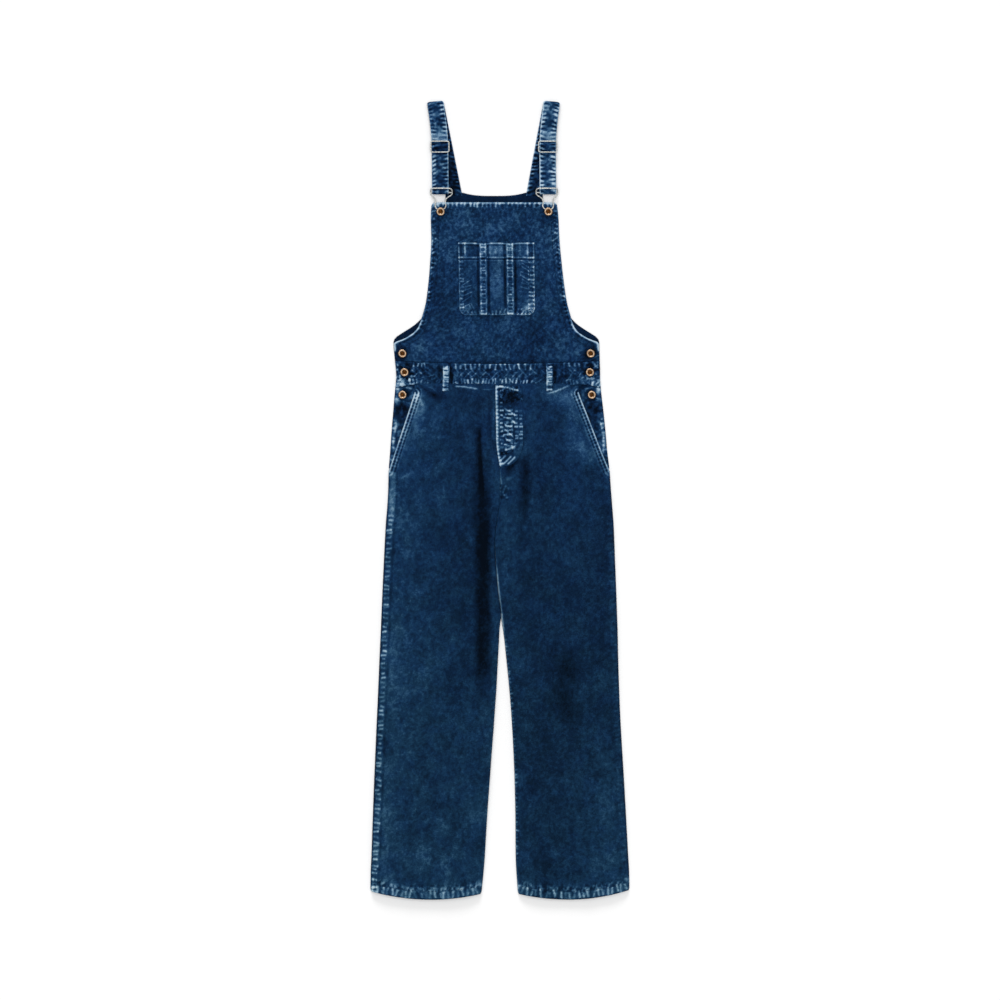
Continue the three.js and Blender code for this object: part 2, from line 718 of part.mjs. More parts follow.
// ---- Buttons: a ring with an open middle on a post ----
function button(x, up, surface, postHeight) {
  const { radius, rim, post } = BUTTON;
  const foot = surface + GAP;
  const head = foot + postHeight;
  const profile = [
    [0, foot],
    [post, foot],
    [post, head],
    [radius - 0.7, head],
    [radius, head + rim * 0.45],
    [radius - 1.5, head + rim],
    [radius - 3.6, head + rim * 0.85],
    [radius - 5.2, head + rim * 0.4],
    [0, head + rim * 0.4],
  ];
  const lathe = new THREE.LatheGeometry(profile.map(([r, z]) => new THREE.Vector2(r, z)), 14);
  lathe.deleteAttribute("normal");
  lathe.deleteAttribute("uv");
  return lathe.rotateX(Math.PI / 2).translate(x, up, 0);
}

const bibPost = 2 * WIRE + 1;
pair(
  "bib_button",
  button(STRAP_HANG_X, BUTTON.up, bibTop(STRAP_HANG_X, BUTTON.up), bibPost),
  copper,
);
for (const { row, up, ...sides } of SIDE_BUTTONS)
  for (const [name, x] of Object.entries(sides)) {
    const surface = { 1: bibTop(x, up), 2: bandTop(x, up), 3: LAYER + CLOTH }[row];
    piece(`side_button_${row}_${name}`, button(x, up, surface, 0.9), copper);
  }

// The origin is the middle of the underside of the whole garment.
const box = new THREE.Box3().setFromObject(overalls);
overalls.position.set(-(box.min.x + box.max.x) / 2, -(box.min.y + box.max.y) / 2, 0);

export default overalls;
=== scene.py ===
"""Bib overalls in washed denim, lying flat on their back. Sizes are in millimetres up the garment
from the lowest point of the hems and across it from its middle line, as in the CAD part; laid()
turns them into the frame's metres. A side is 1 on the wearer's left and -1 on the right."""

import math
from functools import partial

import bpy
import numpy as np
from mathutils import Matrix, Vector


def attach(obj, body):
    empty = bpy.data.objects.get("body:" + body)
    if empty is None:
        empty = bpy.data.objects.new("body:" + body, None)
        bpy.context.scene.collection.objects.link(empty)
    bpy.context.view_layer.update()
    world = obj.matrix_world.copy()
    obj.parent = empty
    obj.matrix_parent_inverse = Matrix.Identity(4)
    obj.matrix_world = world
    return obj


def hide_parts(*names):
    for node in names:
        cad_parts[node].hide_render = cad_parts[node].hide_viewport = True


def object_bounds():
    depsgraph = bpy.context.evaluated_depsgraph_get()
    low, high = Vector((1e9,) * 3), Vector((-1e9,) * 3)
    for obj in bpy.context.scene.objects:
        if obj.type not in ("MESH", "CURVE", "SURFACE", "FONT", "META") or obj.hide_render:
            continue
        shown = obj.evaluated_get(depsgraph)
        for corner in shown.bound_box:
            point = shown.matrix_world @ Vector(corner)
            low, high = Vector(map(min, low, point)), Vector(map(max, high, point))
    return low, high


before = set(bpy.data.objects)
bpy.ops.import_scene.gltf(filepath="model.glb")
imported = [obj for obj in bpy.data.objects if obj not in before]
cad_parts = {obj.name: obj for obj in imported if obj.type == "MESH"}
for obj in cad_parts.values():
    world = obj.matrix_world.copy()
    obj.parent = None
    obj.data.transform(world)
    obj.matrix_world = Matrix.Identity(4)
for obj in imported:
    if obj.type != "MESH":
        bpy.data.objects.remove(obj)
CAD_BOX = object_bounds()


def table(columns, *rows):
    """A short table: a dictionary of its named columns."""
    return dict(zip(columns.split(), np.array(rows, float).T))


# ---- Driving sizes ----
SIDES = {1: "left", -1: "right"}
CLOTH = 1.5
GAP = 0.3
LAYER = CLOTH + GAP
LOWEST = 0.7  # the upper face of cloth comes no nearer the floor
THINNEST = 0.5  # the least that cloth is thick
BACK_INSET = 1.4  # from the outline of the front
SEAM_UNDER = 0.2  # the height of a front's underside along the seams that join it to its back
SEAM_DROP = 2.6  # how far a front turns down there
CROTCH = 500.0  # above it the legs meet
FACING_LOW = 745.0
WAIST_SEAM = 901.0
WAIST_TOP = 943.0
BIB_TOP = 1225.5
NECK = 1243.0
NECK_DIP = 6.0
LEG_LOFT = 9.0  # how far the front of a leg stands off its back, soft as it lies
BIB_LOFT = 3.2
BAND_LOFT = 2.2
BAND_THICK = 3.2  # the waistband is doubled
EDGE_ROLL = 42.0  # width over which cloth rises from an outline to its loft
EDGE = [0, 0.25, 0.6, 1.1, 2]  # where a grid has its first rows, for a rolled edge

OUTLINE = table("up half", (0, 228), (45, 227.5), (75, 226), (185, 221), (355, 212.6), (520, 206.6),
                (600, 203.2), (657, 200.6), (690, 198), (720, 196), (753, 194.4), (790, 190.8),
                (815, 188.9), (868, 184), (895, 181.2), (920, 179.4), (945, 180), (980, 181))
INSEAM = table("up half middle", (0, 33, -0.8), (70, 27.4, 0.6), (140, 25, 3), (225, 21, 5.8),
               (320, 15, 7.6), (352, 12.7, 7.5), (455, 4.7, 4.6), (474, 3, 3.6), (484, 1.8, 3.2),
               (497, 0.1, 3.2), (540, 0.1, -2), (592, 0.1, -6.6), (628, 0.1, -8.4),
               (667, 0.1, -4.6), (700, 0.1, 0.3), (742, 0.1, 1.4), (764, 0.1, 0.2), (785, 0.1, -3),
               (808, 0.1, -4.7), (WAIST_SEAM, 0.1, -5.2))
DRIFT = table("up shift", (0, 0), (60, -0.2), (140, -0.9), (225, -1.7), (320, -2.4), (400, -2.2),
              (480, -1.4), (600, -0.9), (690, -0.4), (745, -1.3), (790, -2.3), (850, -2.8),
              (895, -3.5), (920, -3.3), (947, -4.7), (975, -6.3), (1000, -6.6), (1035, -6.2),
              (1095, -6.9), (1150, -7.9), (BIB_TOP, -10.1), (1400, -11.4))
FRONT_BIB = table("up half", (WAIST_TOP, 180), (965, 180.4), (977, 180.6), (979.6, 178.5),
                  (983.6, 167.7), (988, 158), (994.3, 148.3), (999.6, 141.8), (1010, 135.6),
                  (1028, 129.8), (1049, 124.2), (1070, 121), (1112, 116.4), (1165, 112.7),
                  (1195, 112.4), (BIB_TOP - 6, 110.6), (BIB_TOP - 2.6, 109), (BIB_TOP - 0.8, 107.2),
                  (BIB_TOP, 104.5))
BACK_BIB = table("up half", (WAIST_TOP, 180), (979, 181), (983, 180.4), (986.5, 178), (990, 174.6),
                 (997, 163.5), (1004, 152.5), (1011, 142.5), (1025, 129.5), (1050, 118),
                 (1095, 104.5), (1150, 93), (1200, 86), (NECK, 85.6))
POCKET_EDGE = table("up left right", (753, 194, 194), (890, 142, 147))
# The waistband's lower edge, as it drags.
BAND_EDGE = table("x up", (-181, 899), (-143, 905), (-108, 892), (-85, 893), (-68, 902), (-45, 905),
                  (0, 904.5), (35, 903), (55, 900), (75, 894), (95, 890), (125, 902), (150, 905),
                  (181, 899))
# A hem rises from its lowest place to both its ends, and the grid above it follows until fade.
HEM = dict(depth=15.0, lowest=0.45, inner=9.0, left=15.6, right=13.5, fade=130.0)
FLY = dict(half=48.5, narrow=7.0, low=761.0, curve_from=812.0)
LOOPS = dict(left=90.6, right=-91.4, half=5.8, low=893.5, high=940.0, right_lean=0.04)
BIB_POCKET = dict(middle=1.2, half=67.0, low=1026.5, high=1154.5, corner=13.0, hem=26.4,
                  strip=23.5, strip_half=6.8)
SIDE_BUTTONS = table("up left right", (959.5, 164.8, -166), (926.5, 161.4, -164.4), (887, 164.8, -168))
BIB_BUTTON_UP = 1208.6

STRAP = dict(thick=1.8, half=14.5, root_x=70.4, hang_x=94.6, fold_x=102.0, fold_up=1400.3, tilt=0.08)
STRAP_FALL = table("up x z", (1392, 101.2, 5.1), (1376, 99, 5.1), (1358, 96.9, 5.2),
                   (1346, 95.8, 6.2), (1341, 95.4, 6.2), (1336, 95.2, 5.1), (1331, 95, 5.1),
                   (1327, 94.9, 7.6), (1323, 94.8, 9.6), (1319, 94.7, 7.6), (1315, 94.6, 5.1),
                   (1310, 94.6, 5.1), (1290, 94.6, 5.1), (1270, 94.6, 5.1), (1259, 94.6, 5.7),
                   (1250, 94.6, 7.1))
STRAP_RETURN = table("up x z", (1255, 94.6, 3.2), (1275, 94.6, 3), (1300, 94.6, 3),
                     (1315, 94.6, 3), (1318, 94.6, 4), (1321.4, 94.7, 5.1))
SLIDER = dict(x=94.8, up=1323.0, z=7.3, half_width=15.9, half_height=9.6, corner=3.0, wire=1.0)
BUCKLE_BAR = dict(up=1242.5, z=6.0, outer=16.8, inner=20.4, wire=1.1)
BUCKLE = table("outer inner up z", (12, 14, 1249.5, 9.6), (16, 18.4, 1248.6, 9.1),
               (17, 20.8, 1245.3, 7.4), (17.2, 20.9, 1241.5, 6.2), (16, 18.6, 1237.6, 5.8),
               (12.6, 13.6, 1234.4, 5.8), (9.2, 9.4, 1230, 5.8), (8.6, 8.6, 1225, 5.8),
               (9.4, 9.6, 1220, 6.2), (8, 8, 1215.4, 6.6), (4.6, 4.6, 1212.2, 6.8),
               (3.4, 3.4, 1208.6, 6.8), (2.4, 2.4, 1206.2, 6.8))
BUCKLE_TOP = (STRAP["hang_x"], 1249.6, 9.7)
BUCKLE_FOOT = (STRAP["hang_x"], 1205.0, 6.8)
# A tack button, from its post out over the rim and into its dark socket.
BUTTON = table("radius above_head", (5.5, 0), (6.6, 0.25), (7.1, 0.8), (7.2, 1.4), (6.9, 2.0),
               (6.2, 2.45), (5.3, 2.55), (4.6, 2.3), (4.0, 1.8), (3.6, 1.2), (3.4, 1.0), (2.4, 1.1),
               (1.3, 1.7))
BUTTON_POST = 1.8
BUTTON_CENTRE = 1.9
SOCKET_RING = 11  # its faces are dark from this one inwards, counting the post's
SIDE_BUTTON_POST = 0.9
BIB_BUTTON_POST = 2 * BUCKLE_BAR["wire"] + 1
STITCH = dict(length=3.3, gap=2.4, width=0.6)
# How far inside each edge its stitches run.
STITCHED = dict(pocket_mouth=(4.3, 9.9), bib_top=12, bib_side=13, bib_pocket=(3, 9.5))


# ---- Small mathematics ----
def smooth(v):
    v = np.clip(v, 0, 1)
    return v * v * (3 - 2 * v)


def mix(a, b, t):
    return a + (b - a) * t


def bump(v):
    return np.exp(-v * v)


def dome(distance, width):
    """A cushion's profile: steep at its edge, level from width inwards."""
    t = np.clip(distance / width, 0, 1)
    return np.sqrt(1 - (1 - t) ** 2.2)


def turned(distance, drop, width=4):
    """How far cloth turns down towards a seam."""
    return drop * (1 - dome(distance, width))


def rolled(distance, radius=0.75):
    """How far a rounded edge drops below the face."""
    short = np.clip(radius - distance, 0, radius)
    return radius - np.sqrt(radius**2 - short**2)


def through(rows, column, along="up"):
    """A smooth function through one column of a table, without overshoot."""
    at, value = rows[along], rows[column]
    slope = np.diff(value) / np.diff(at)
    tangent = np.concatenate([slope[:1], np.zeros(len(slope) - 1), slope[-1:]])
    same = slope[:-1] * slope[1:] > 0
    tangent[1:-1][same] = (2 * slope[:-1] * slope[1:] / (slope[:-1] + slope[1:] + 1e-12))[same]

    def curve(place):
        place = np.clip(place, at[0], at[-1])
        i = np.clip(np.searchsorted(at, place, "right") - 1, 0, len(at) - 2)
        step = at[i + 1] - at[i]
        t = (place - at[i]) / step
        bend = t * (1 - t) ** 2 * step * tangent[i] + t * t * (t - 1) * step * tangent[i + 1]
        return mix(value[i], value[i + 1], t * t * (3 - 2 * t)) + bend

    return curve


def wander(seed, step):
    """Smooth noise from -1 to 1 along a line, with a new value at each step."""
    knots = np.random.default_rng(seed).uniform(-1, 1, 1024)

    def at(place):
        t = np.asarray(place, float) / step + 400.0
        i = np.floor(t).astype(int)
        return mix(knots[i % 1024], knots[(i + 1) % 1024], smooth(t - i))

    return at


def clouds(seed, width, length):
    """Smooth noise from -1 to 1 over the cloth, its patches of that width and length."""
    knots = np.random.default_rng(seed).uniform(-1, 1, (128, 128))

    def at(x, up):
        a, b = x / width + 50.0, up / length + 20.0
        i, j = np.floor(a).astype(int), np.floor(b).astype(int)
        p, q = smooth(a - i), smooth(b - j)
        low, high = (mix(knots[i % 128, n % 128], knots[(i + 1) % 128, n % 128], p) for n in (j, j + 1))
        return mix(low, high, q)

    return at


class Line:
    """A polyline on the cloth, such as a seam, with the side of it that offsets are measured to:
    1 for its left as it runs, -1 for its right."""

    def __init__(self, points, inside=1):
        self.points = np.array(points, float)
        self.inside = inside
        self.steps = np.diff(self.points, axis=0)
        self.lengths = np.hypot(*self.steps.T)
        self.starts = np.concatenate([[0], np.cumsum(self.lengths)])
        self.length = self.starts[-1]

    def near(self, x, up):
        """How far along the line each point lies, and how far inside it."""
        best = np.full(np.shape(x), np.inf)
        along, away = np.zeros(np.shape(x)), np.zeros(np.shape(x))
        for start, step, length, begun in zip(self.points, self.steps, self.lengths, self.starts):
            dx, dy = x - start[0], up - start[1]
            t = np.clip((dx * step[0] + dy * step[1]) / length**2, 0, 1)
            gap = np.hypot(dx - t * step[0], dy - t * step[1])
            side = np.sign(step[0] * dy - step[1] * dx) * self.inside
            closer = gap < best
            best = np.where(closer, gap, best)
            along = np.where(closer, begun + t * length, along)
            away = np.where(closer, side * gap, away)
        return along, away

    def at(self, along):
        """Points on the line at distances along it."""
        i = np.clip(np.searchsorted(self.starts, along, "right") - 1, 0, len(self.steps) - 1)
        t = (along - self.starts[i]) / self.lengths[i]
        return self.points[i] + self.steps[i] * t[:, None]

    def beside(self, offset):
        """The line moved inside by that offset."""
        normal = np.stack([-self.steps[:, 1], self.steps[:, 0]], 1) / self.lengths[:, None]
        turned = np.concatenate([normal[:1], normal[1:] + normal[:-1], normal[-1:]])
        turned *= self.inside / np.linalg.norm(turned, axis=1)[:, None]
        return Line(self.points + turned * offset, self.inside)


# ---- Relief: each part of it gives a height to add, and how much paler it makes the cloth where worn or darker where unworn or painted with shade ----
def scaled(height, wear, share):
    """That height and wear, times a share of them that varies over the cloth."""

    def at(x, up):
        much = share(x, up)
        return height * much, wear * much

    return at


def only(part, share):
    """The same relief, times a share of it that varies over the cloth."""

    def at(x, up):
        much = share(x, up)
        height, wear = part(x, up)
        return height * much, wear * much

    return at


def stretch(along, span, ends=20.0):
    """1 between two places along a line and 0 beyond them, with soft ends."""
    if span is None:
        return 1.0
    return smooth((along - span[0]) / ends) * smooth((span[1] - along) / ends)


def band(line, centre, width, span=None):
    """The share of a soft band beside a line."""

    def at(x, up):
        along, away = line.near(x, up)
        return bump((away - centre) / width) * stretch(along, span)

    return at


def box(x0, up0, half, tall, soft=0.3):
    """The share of a soft rectangle."""

    def at(x, up):
        inside = np.maximum(np.abs(x - x0) / half, np.abs(up - up0) / tall)
        return smooth((1 - inside) / soft + 0.5)

    return at


def strokes(line, near, far, pitch, height, wear, seed, lean=0.0, span=None, thick=0.26, slant=0.25):
    """Short ridges across a seam, between two distances inside it, no two quite alike."""
    draw = np.random.default_rng(seed).uniform(-1, 1, (5, 1024))
    middle, reach = (near + far) / 2, (far - near) / 2

    def at(x, up):
        along, away = line.near(x, up)
        first = np.floor(along / pitch).astype(int)
        ridge = np.zeros(np.shape(x))
        for step in (-1, 0, 1):
            shift, turn, low, high, strength = draw[:, (first + step) % 1024]
            place = (first + step + 0.5 + 0.24 * shift) * pitch
            gap = along - place - (lean + slant * turn) * (away - middle)
            ends = smooth((away - near + 0.4 * reach * low) / 1.6 + 0.5)
            ends = ends * smooth((far + 0.4 * reach * high - away) / 2.0 + 0.5)
            ridge = np.maximum(ridge, bump(gap / (thick * pitch)) * ends * (0.74 + 0.26 * strength))
        much = stretch(along, span)
        ridge, row = ridge * much, bump((away - middle) / (1.15 * reach)) * much
        return height * (ridge - 0.3 * row), wear * (1.3 * ridge - 0.32 * row)

    return at


def spots(line, centre, pitch, height, wear, seed, span=None, size=1.7):
    """A row of small places along a line: raised and pale, or sunk and dark where stitches pull."""
    draw = np.random.default_rng(seed).uniform(-1, 1, (2, 1024))

    def share(x, up):
        along, away = line.near(x, up)
        number = np.floor(along / pitch).astype(int)
        shift, strength = draw[:, number % 1024]
        gap = along - (number + 0.5 + 0.12 * shift) * pitch
        much = bump(np.hypot(gap, away - centre) / size) * (0.8 + 0.2 * strength)
        return much * stretch(along, span, 15)

    return scaled(height, wear, share)


def stripe(line, centre, width, height, wear, span=None):
    """A soft band beside a line: an edge, a stitch's groove or a welt."""
    return scaled(height, wear, band(line, centre, width, span))


def patch(x0, up0, width, length, wear, height=0.0):
    """A broad paler or darker place."""

    def share(x, up):
        return bump(np.hypot((x - x0) / width, (up - up0) / length))

    return scaled(height, wear, share)


def crease(points, depth, left, right, wear, fade=60.0, flat=2):
    """A trough, or a ridge if depth is negative, with its own width to each side; flat is 2 for a
    rounded one and more for one with a level bottom. A darker trough is painted shade."""
    line = Line(points)

    def share(x, up):
        along, away = line.near(x, up)
        much = np.exp(-np.abs(away / np.where(away > 0, left, right)) ** flat)
        return much * stretch(along, (0, line.length), fade)

    return scaled(-depth, wear, share)


def mottle(wear, seed, width, length, height=0.0):
    """Small irregular pale and dark places."""
    coarse, fine = clouds(seed, width, length), clouds(seed + 1, width * 0.55, length * 0.55)

    def share(x, up):
        return np.tanh(2.2 * (0.65 * coarse(x, up) + 0.45 * fine(x, up)))

    return scaled(height, wear, share)


def ripples(height, wear, seed, width=55.0, length=150.0):
    """Slow waves in cloth that isn't pulled flat."""
    broad, narrow = clouds(seed, width, length), clouds(seed + 1, width * 0.4, length * 0.35)

    def share(x, up):
        return 0.7 * broad(x, up) + 0.3 * narrow(x, up)

    return scaled(height, wear, share)


def tabled(make, columns):
    """What makes one part of relief from each row of a table with those columns, of which the last
    ones may be left out."""

    def parts(*rows):
        return [make(**dict(zip(columns.split(), row))) for row in rows]

    return parts


all_strokes = tabled(strokes, "line near far pitch height wear seed lean span thick slant")
all_spots = tabled(spots, "line centre pitch height wear seed span size")
stripes = tabled(stripe, "line centre width height wear span")
patches = tabled(patch, "x0 up0 width length wear height")
creases = tabled(crease, "points depth left right wear fade flat")
mottles = tabled(mottle, "wear seed width length height")


def relief(parts, x, up):
    height, wear = np.zeros(np.shape(x)), np.zeros(np.shape(x))
    for part in parts:
        more, worn_and_shaded = part(x, up)
        height, wear = height + more, wear + worn_and_shaded
    return height, wear


# ---- Materials ----
# The shades of denim by how worn it is or how darkened by painted shade: place on the ramp, then red, green
# and blue from 0 to 255.
NAVY = [(0.1, 1, 8, 22), (0.34, 8, 31, 62), (0.5, 17, 50, 89), (0.66, 46, 83, 121),
        (0.84, 110, 143, 173), (1.0, 170, 192, 210)]
TEAL = [(0.1, 1, 9, 20), (0.34, 9, 32, 54), (0.5, 20, 52, 79), (0.66, 52, 89, 115),
        (0.84, 118, 151, 171), (1.0, 178, 198, 208)]
GREY_STEP = [(0.35, 0, 0, 0), (0.65, 255, 255, 255)]
MIDDLE_SHADE = 0.46
WEAR_AND_SHADE_SHARE = 0.34
MATT = {"Roughness": 0.92, "Specular IOR Level": 0.05}


def colour(red, green, blue):
    """A colour from its 0 to 255 screen values."""
    value = np.array([red, green, blue]) / 255
    return (*np.where(value > 0.04045, ((value + 0.055) / 1.055) ** 2.4, value / 12.92), 1.0)


class Nodes:
    """A small helper that adds and links shader nodes."""

    def __init__(self, name):
        self.material = bpy.data.materials.new(name)
        self.material.use_nodes = True
        self.tree = self.material.node_tree
        self.shader = self.tree.nodes["Principled BSDF"]

    def add(self, kind, inputs, **settings):
        node = self.tree.nodes.new(kind)
        for key, value in settings.items():
            setattr(node, key, value)
        self.set(node, inputs)
        return node

    def set(self, node, inputs):
        for key, value in inputs.items():
            if isinstance(value, bpy.types.NodeSocket):
                self.tree.links.new(value, node.inputs[key])
            else:
                node.inputs[key].default_value = value

    def where(self):
        return self.add("ShaderNodeTexCoord", {}).outputs["Object"]

    def math(self, operation, *values):
        return self.add("ShaderNodeMath", dict(enumerate(values)), operation=operation).outputs[0]

    def noise(self, where, scale, detail=3.0, rough=0.55):
        inputs = {"Vector": where, "Scale": scale, "Detail": detail, "Roughness": rough}
        return self.add("ShaderNodeTexNoise", inputs).outputs["Fac"]

    def bump(self, height, strength, distance, under=None):
        inputs = {"Height": height, "Strength": strength, "Distance": distance}
        if under:
            inputs["Normal"] = under
        return self.add("ShaderNodeBump", inputs).outputs["Normal"]

    def ramp(self, value, stops):
        node = self.add("ShaderNodeValToRGB", {"Fac": value})
        elements = node.color_ramp.elements
        while len(elements) < len(stops):
            elements.new(0.5)
        for element, (place, *shade) in zip(elements, stops):
            element.position = place
            element.color = colour(*shade)
        return node.outputs["Color"]


def denim(name, darker=0.0):
    """Indigo cloth whose ridges are washed pale: its per-point attribute moves it along one ramp, paler
    where worn and darker where unworn or painted with shade.
    """
    nodes = Nodes(name)
    where = nodes.where()
    worn_and_shaded = nodes.add("ShaderNodeAttribute", {}, attribute_name="wear").outputs["Fac"]
    mottled = nodes.noise(where, 150.0, 5.0, 0.7)
    veins = {"Vector": where, "Scale": 95.0, "Detail": 4.0, "Roughness": 0.62, "Distortion": 0.6}
    veined = nodes.add("ShaderNodeTexNoise", veins, noise_type="RIDGED_MULTIFRACTAL").outputs["Fac"]
    noises = [(nodes.noise(where, 26.0, 2.0, 0.5), 0.24), (mottled, 0.36), (veined, 0.06),
              (nodes.noise(where, 640.0, 2.0, 0.6), 0.38)]
    level = MIDDLE_SHADE - darker - sum(share for _, share in noises) / 2
    for noise, share in [*noises, (worn_and_shaded, WEAR_AND_SHADE_SHARE)]:
        level = nodes.math("MULTIPLY_ADD", noise, share, level)
    hue = nodes.ramp(nodes.noise(where, 38.0, 3.0, 0.6), GREY_STEP)
    height = nodes.add("ShaderNodeSeparateXYZ", {"Vector": where}).outputs["Y"]
    lower = nodes.math("MAXIMUM", nodes.math("MULTIPLY_ADD", height, -0.9, 0.25), 0.0)
    hue = nodes.math("MULTIPLY_ADD", hue, 0.5, nodes.math("MINIMUM", lower, 0.6))
    shades = {"Fac": hue, "Color1": nodes.ramp(level, NAVY), "Color2": nodes.ramp(level, TEAL)}
    base = nodes.add("ShaderNodeMixRGB", shades).outputs[0]
    twill = {"Vector": where, "Scale": 390.0, "Distortion": 1.2, "Detail": 2.0}
    twill = nodes.add("ShaderNodeTexWave", twill, bands_direction="DIAGONAL").outputs["Fac"]
    normal = nodes.bump(twill, 0.35, 0.0006)
    normal = nodes.bump(mottled, 0.4, 0.0012, normal)
    normal = nodes.bump(nodes.noise(where, 1800.0, 2.0), 0.25, 0.0004, normal)
    nodes.set(nodes.shader, {"Base Color": base, "Normal": normal, **MATT})
    return nodes.material


def metal(name, shade, dark, roughness, metallic=1.0):
    nodes = Nodes(name)
    where = nodes.where()
    stain = nodes.noise(where, 450.0, 4.0, 0.6)
    rough = nodes.math("MULTIPLY_ADD", stain, 0.25, roughness - 0.12)
    normal = nodes.bump(nodes.noise(where, 2500.0), 0.15, 0.0002)
    nodes.set(nodes.shader, {"Base Color": nodes.ramp(stain, [(0.35, *dark), (0.62, *shade)]),
                             "Roughness": rough, "Normal": normal, "Metallic": metallic})
    return nodes.material


def plain(name, shade):
    nodes = Nodes(name)
    nodes.set(nodes.shader, {"Base Color": shade, **MATT, "Roughness": 0.9})
    return nodes.material


DENIM = denim("washed_denim")
# The inside of the back pieces is darker, partly for its unwashed face and partly as painted shade at the
# neck and armholes.
DENIM_BACK = denim("denim_inside_unwashed_and_shaded", 0.2)
COPPER = metal("aged_copper", (198, 172, 144), (124, 97, 74), 0.36)
SOCKET = metal("dark_copper", (96, 58, 24), (30, 14, 4), 0.5)
NICKEL = metal("pale_nickel", (214, 216, 213), (146, 148, 145), 0.42, 0.6)
THREAD = plain("indigo_thread", colour(15, 34, 62))
FLOOR = plain("pale_floor", (0.93, 0.93, 0.93, 1))


# ---- Meshes ----
def laid(x, up, z):
    """Points of the garment in the frame, in metres."""
    x, up, z = np.broadcast_arrays(x, up, z)
    points = np.stack([x + drift(up), up, z], -1) / 1000
    points[..., 1] += CAD_BOX[0].y
    return points.reshape(-1, 3)


def bands(total, near=(), far=(), step=2.0):
    """Places from 0 to total: near from its start, far from its end, evenly spaced between."""
    start, stop = (near[-1] if near else 0), total - (far[-1] if far else 0)
    middle = np.linspace(start, stop, max(1, round((stop - start) / step)) + 1)
    return np.unique(np.round(np.concatenate([near, middle, total - np.array(far, float)]), 6))


def both_ends(total, near, step):
    """Places from 0 to total, with the same close ones at its two ends."""
    return bands(total, near, near, step)


def grid(rows, columns):
    """The place of each row and of each column, as arrays of the grid's shape."""
    return np.meshgrid(rows, columns, indexing="ij")


def picks(count, skip, edge):
    """The few rows or columns that the hidden side of a piece has."""
    return np.array(sorted({0, *range(edge, count - edge, skip), count - 1 - edge, count - 1}))


def new_object(name, vertices, faces, materials, flat_faces=0):
    """A smooth object, but for its last few faces."""
    mesh = bpy.data.meshes.new(name)
    mesh.from_pydata(vertices.tolist(), [], faces)
    mesh.polygons.foreach_set("use_smooth", np.arange(len(faces)) < len(faces) - flat_faces)
    for material in materials:
        mesh.materials.append(material)
    mesh.update()
    made = bpy.data.objects.new(name, mesh)
    bpy.context.collection.objects.link(made)
    return made


def part_of_garment(made, node=None):
    """Says what a piece rides on and which CAD node it replaces, and hides that node."""
    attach(made, "root")
    if node:
        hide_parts(node)


# These values make the cloth paler where worn and darker where unworn or painted with shade.
def set_wear_and_shade(made, worn_and_shaded):
    layer = made.data.attributes.new("wear", "FLOAT", "POINT")
    layer.data.foreach_set("value", worn_and_shaded.astype(np.float32))


def quads(*corners):
    return np.stack(corners, -1).reshape(-1, 4).tolist()


def cloth(name, slot, x, up, top, under, wear, rests_on, material=DENIM, skip=7, edge=3):
    """A closed wall of cloth over a grid whose rows run up the garment and columns across it. Its
    underside keeps one row and column in every few."""
    rows, columns = (picks(count, skip, edge) for count in x.shape)
    cut = np.ix_(rows, columns)
    high = np.arange(x.size).reshape(x.shape)
    low = x.size + np.arange(x[cut].size).reshape(x[cut].shape)
    points = np.concatenate([laid(x, up, top), laid(x[cut], up[cut], under[cut])])
    faces = quads(high[:-1, :-1], high[:-1, 1:], high[1:, 1:], high[1:, :-1])
    faces += quads(low[:-1, :-1], low[1:, :-1], low[1:, 1:], low[:-1, 1:])
    smooth_faces = len(faces)
    for k, (first, last) in enumerate(zip(columns[:-1], columns[1:] + 1)):
        faces.append([*high[0, first:last][::-1], low[0, k], low[0, k + 1]])
        faces.append([*high[-1, first:last], low[-1, k + 1], low[-1, k]])
    for k, (first, last) in enumerate(zip(rows[:-1], rows[1:] + 1)):
        faces.append([*high[first:last, 0], low[k + 1, 0], low[k, 0]])
        faces.append([*high[first:last, -1][::-1], low[k, -1], low[k + 1, -1]])
    made = new_object(name, points, faces, [material], len(faces) - smooth_faces)
    set_wear_and_shade(made, np.concatenate([wear.ravel(), wear[cut].ravel()]))
    part_of_garment(made, name)


# ---- Form of the fronts ----
outline = through(OUTLINE, "half")
inseam_half = through(INSEAM, "half")
inseam_middle = through(INSEAM, "middle")
drift = through(DRIFT, "shift")
front_bib = through(FRONT_BIB, "half")
back_bib = through(BACK_BIB, "half")
band_edge = through(BAND_EDGE, "up", "x")


def band_rim(x):
    """How far the waistband's upper edge bends away from level."""
    return 5.2 * (x / 180) ** 2 - 1.2


def pocket_edge(up, side):
    return np.interp(up, POCKET_EDGE["up"], POCKET_EDGE[SIDES[side]])


def leg_outer(up, side):
    edge = np.where(up > POCKET_EDGE["up"][0], pocket_edge(up, side), np.inf)
    return np.minimum(outline(up), edge)


def hem_rise(across, side):
    """Height of a leg's hem above its lowest point; across is 0 at the inseam and 1 outside."""
    lowest = HEM["lowest"]
    inner = HEM["inner"] * (1 - across / lowest) ** 2
    outer = HEM[SIDES[side]] * ((across - lowest) / (1 - lowest)) ** 2
    return np.where(across < lowest, inner, outer)


def above_hem(level, across, side):
    """Heights of a leg's grid, whose lowest row follows the hem."""
    return level + hem_rise(across, side) * np.clip(1 - level / HEM["fade"], 0, 1)


def side_line(half, side, low, high, count=40):
    """One side of the garment as a line going up it."""
    ups = np.linspace(low, high, count)
    return Line(np.stack([side * half(ups), ups], 1), side)


def inseam_line(side):
    ups = np.linspace(0, CROTCH, 40)
    return Line(np.stack([inseam_middle(ups) + side * inseam_half(ups), ups], 1), -side)


def pocket_line(side):
    return Line([(side * pocket_edge(up, side), up) for up in POCKET_EDGE["up"]], side)


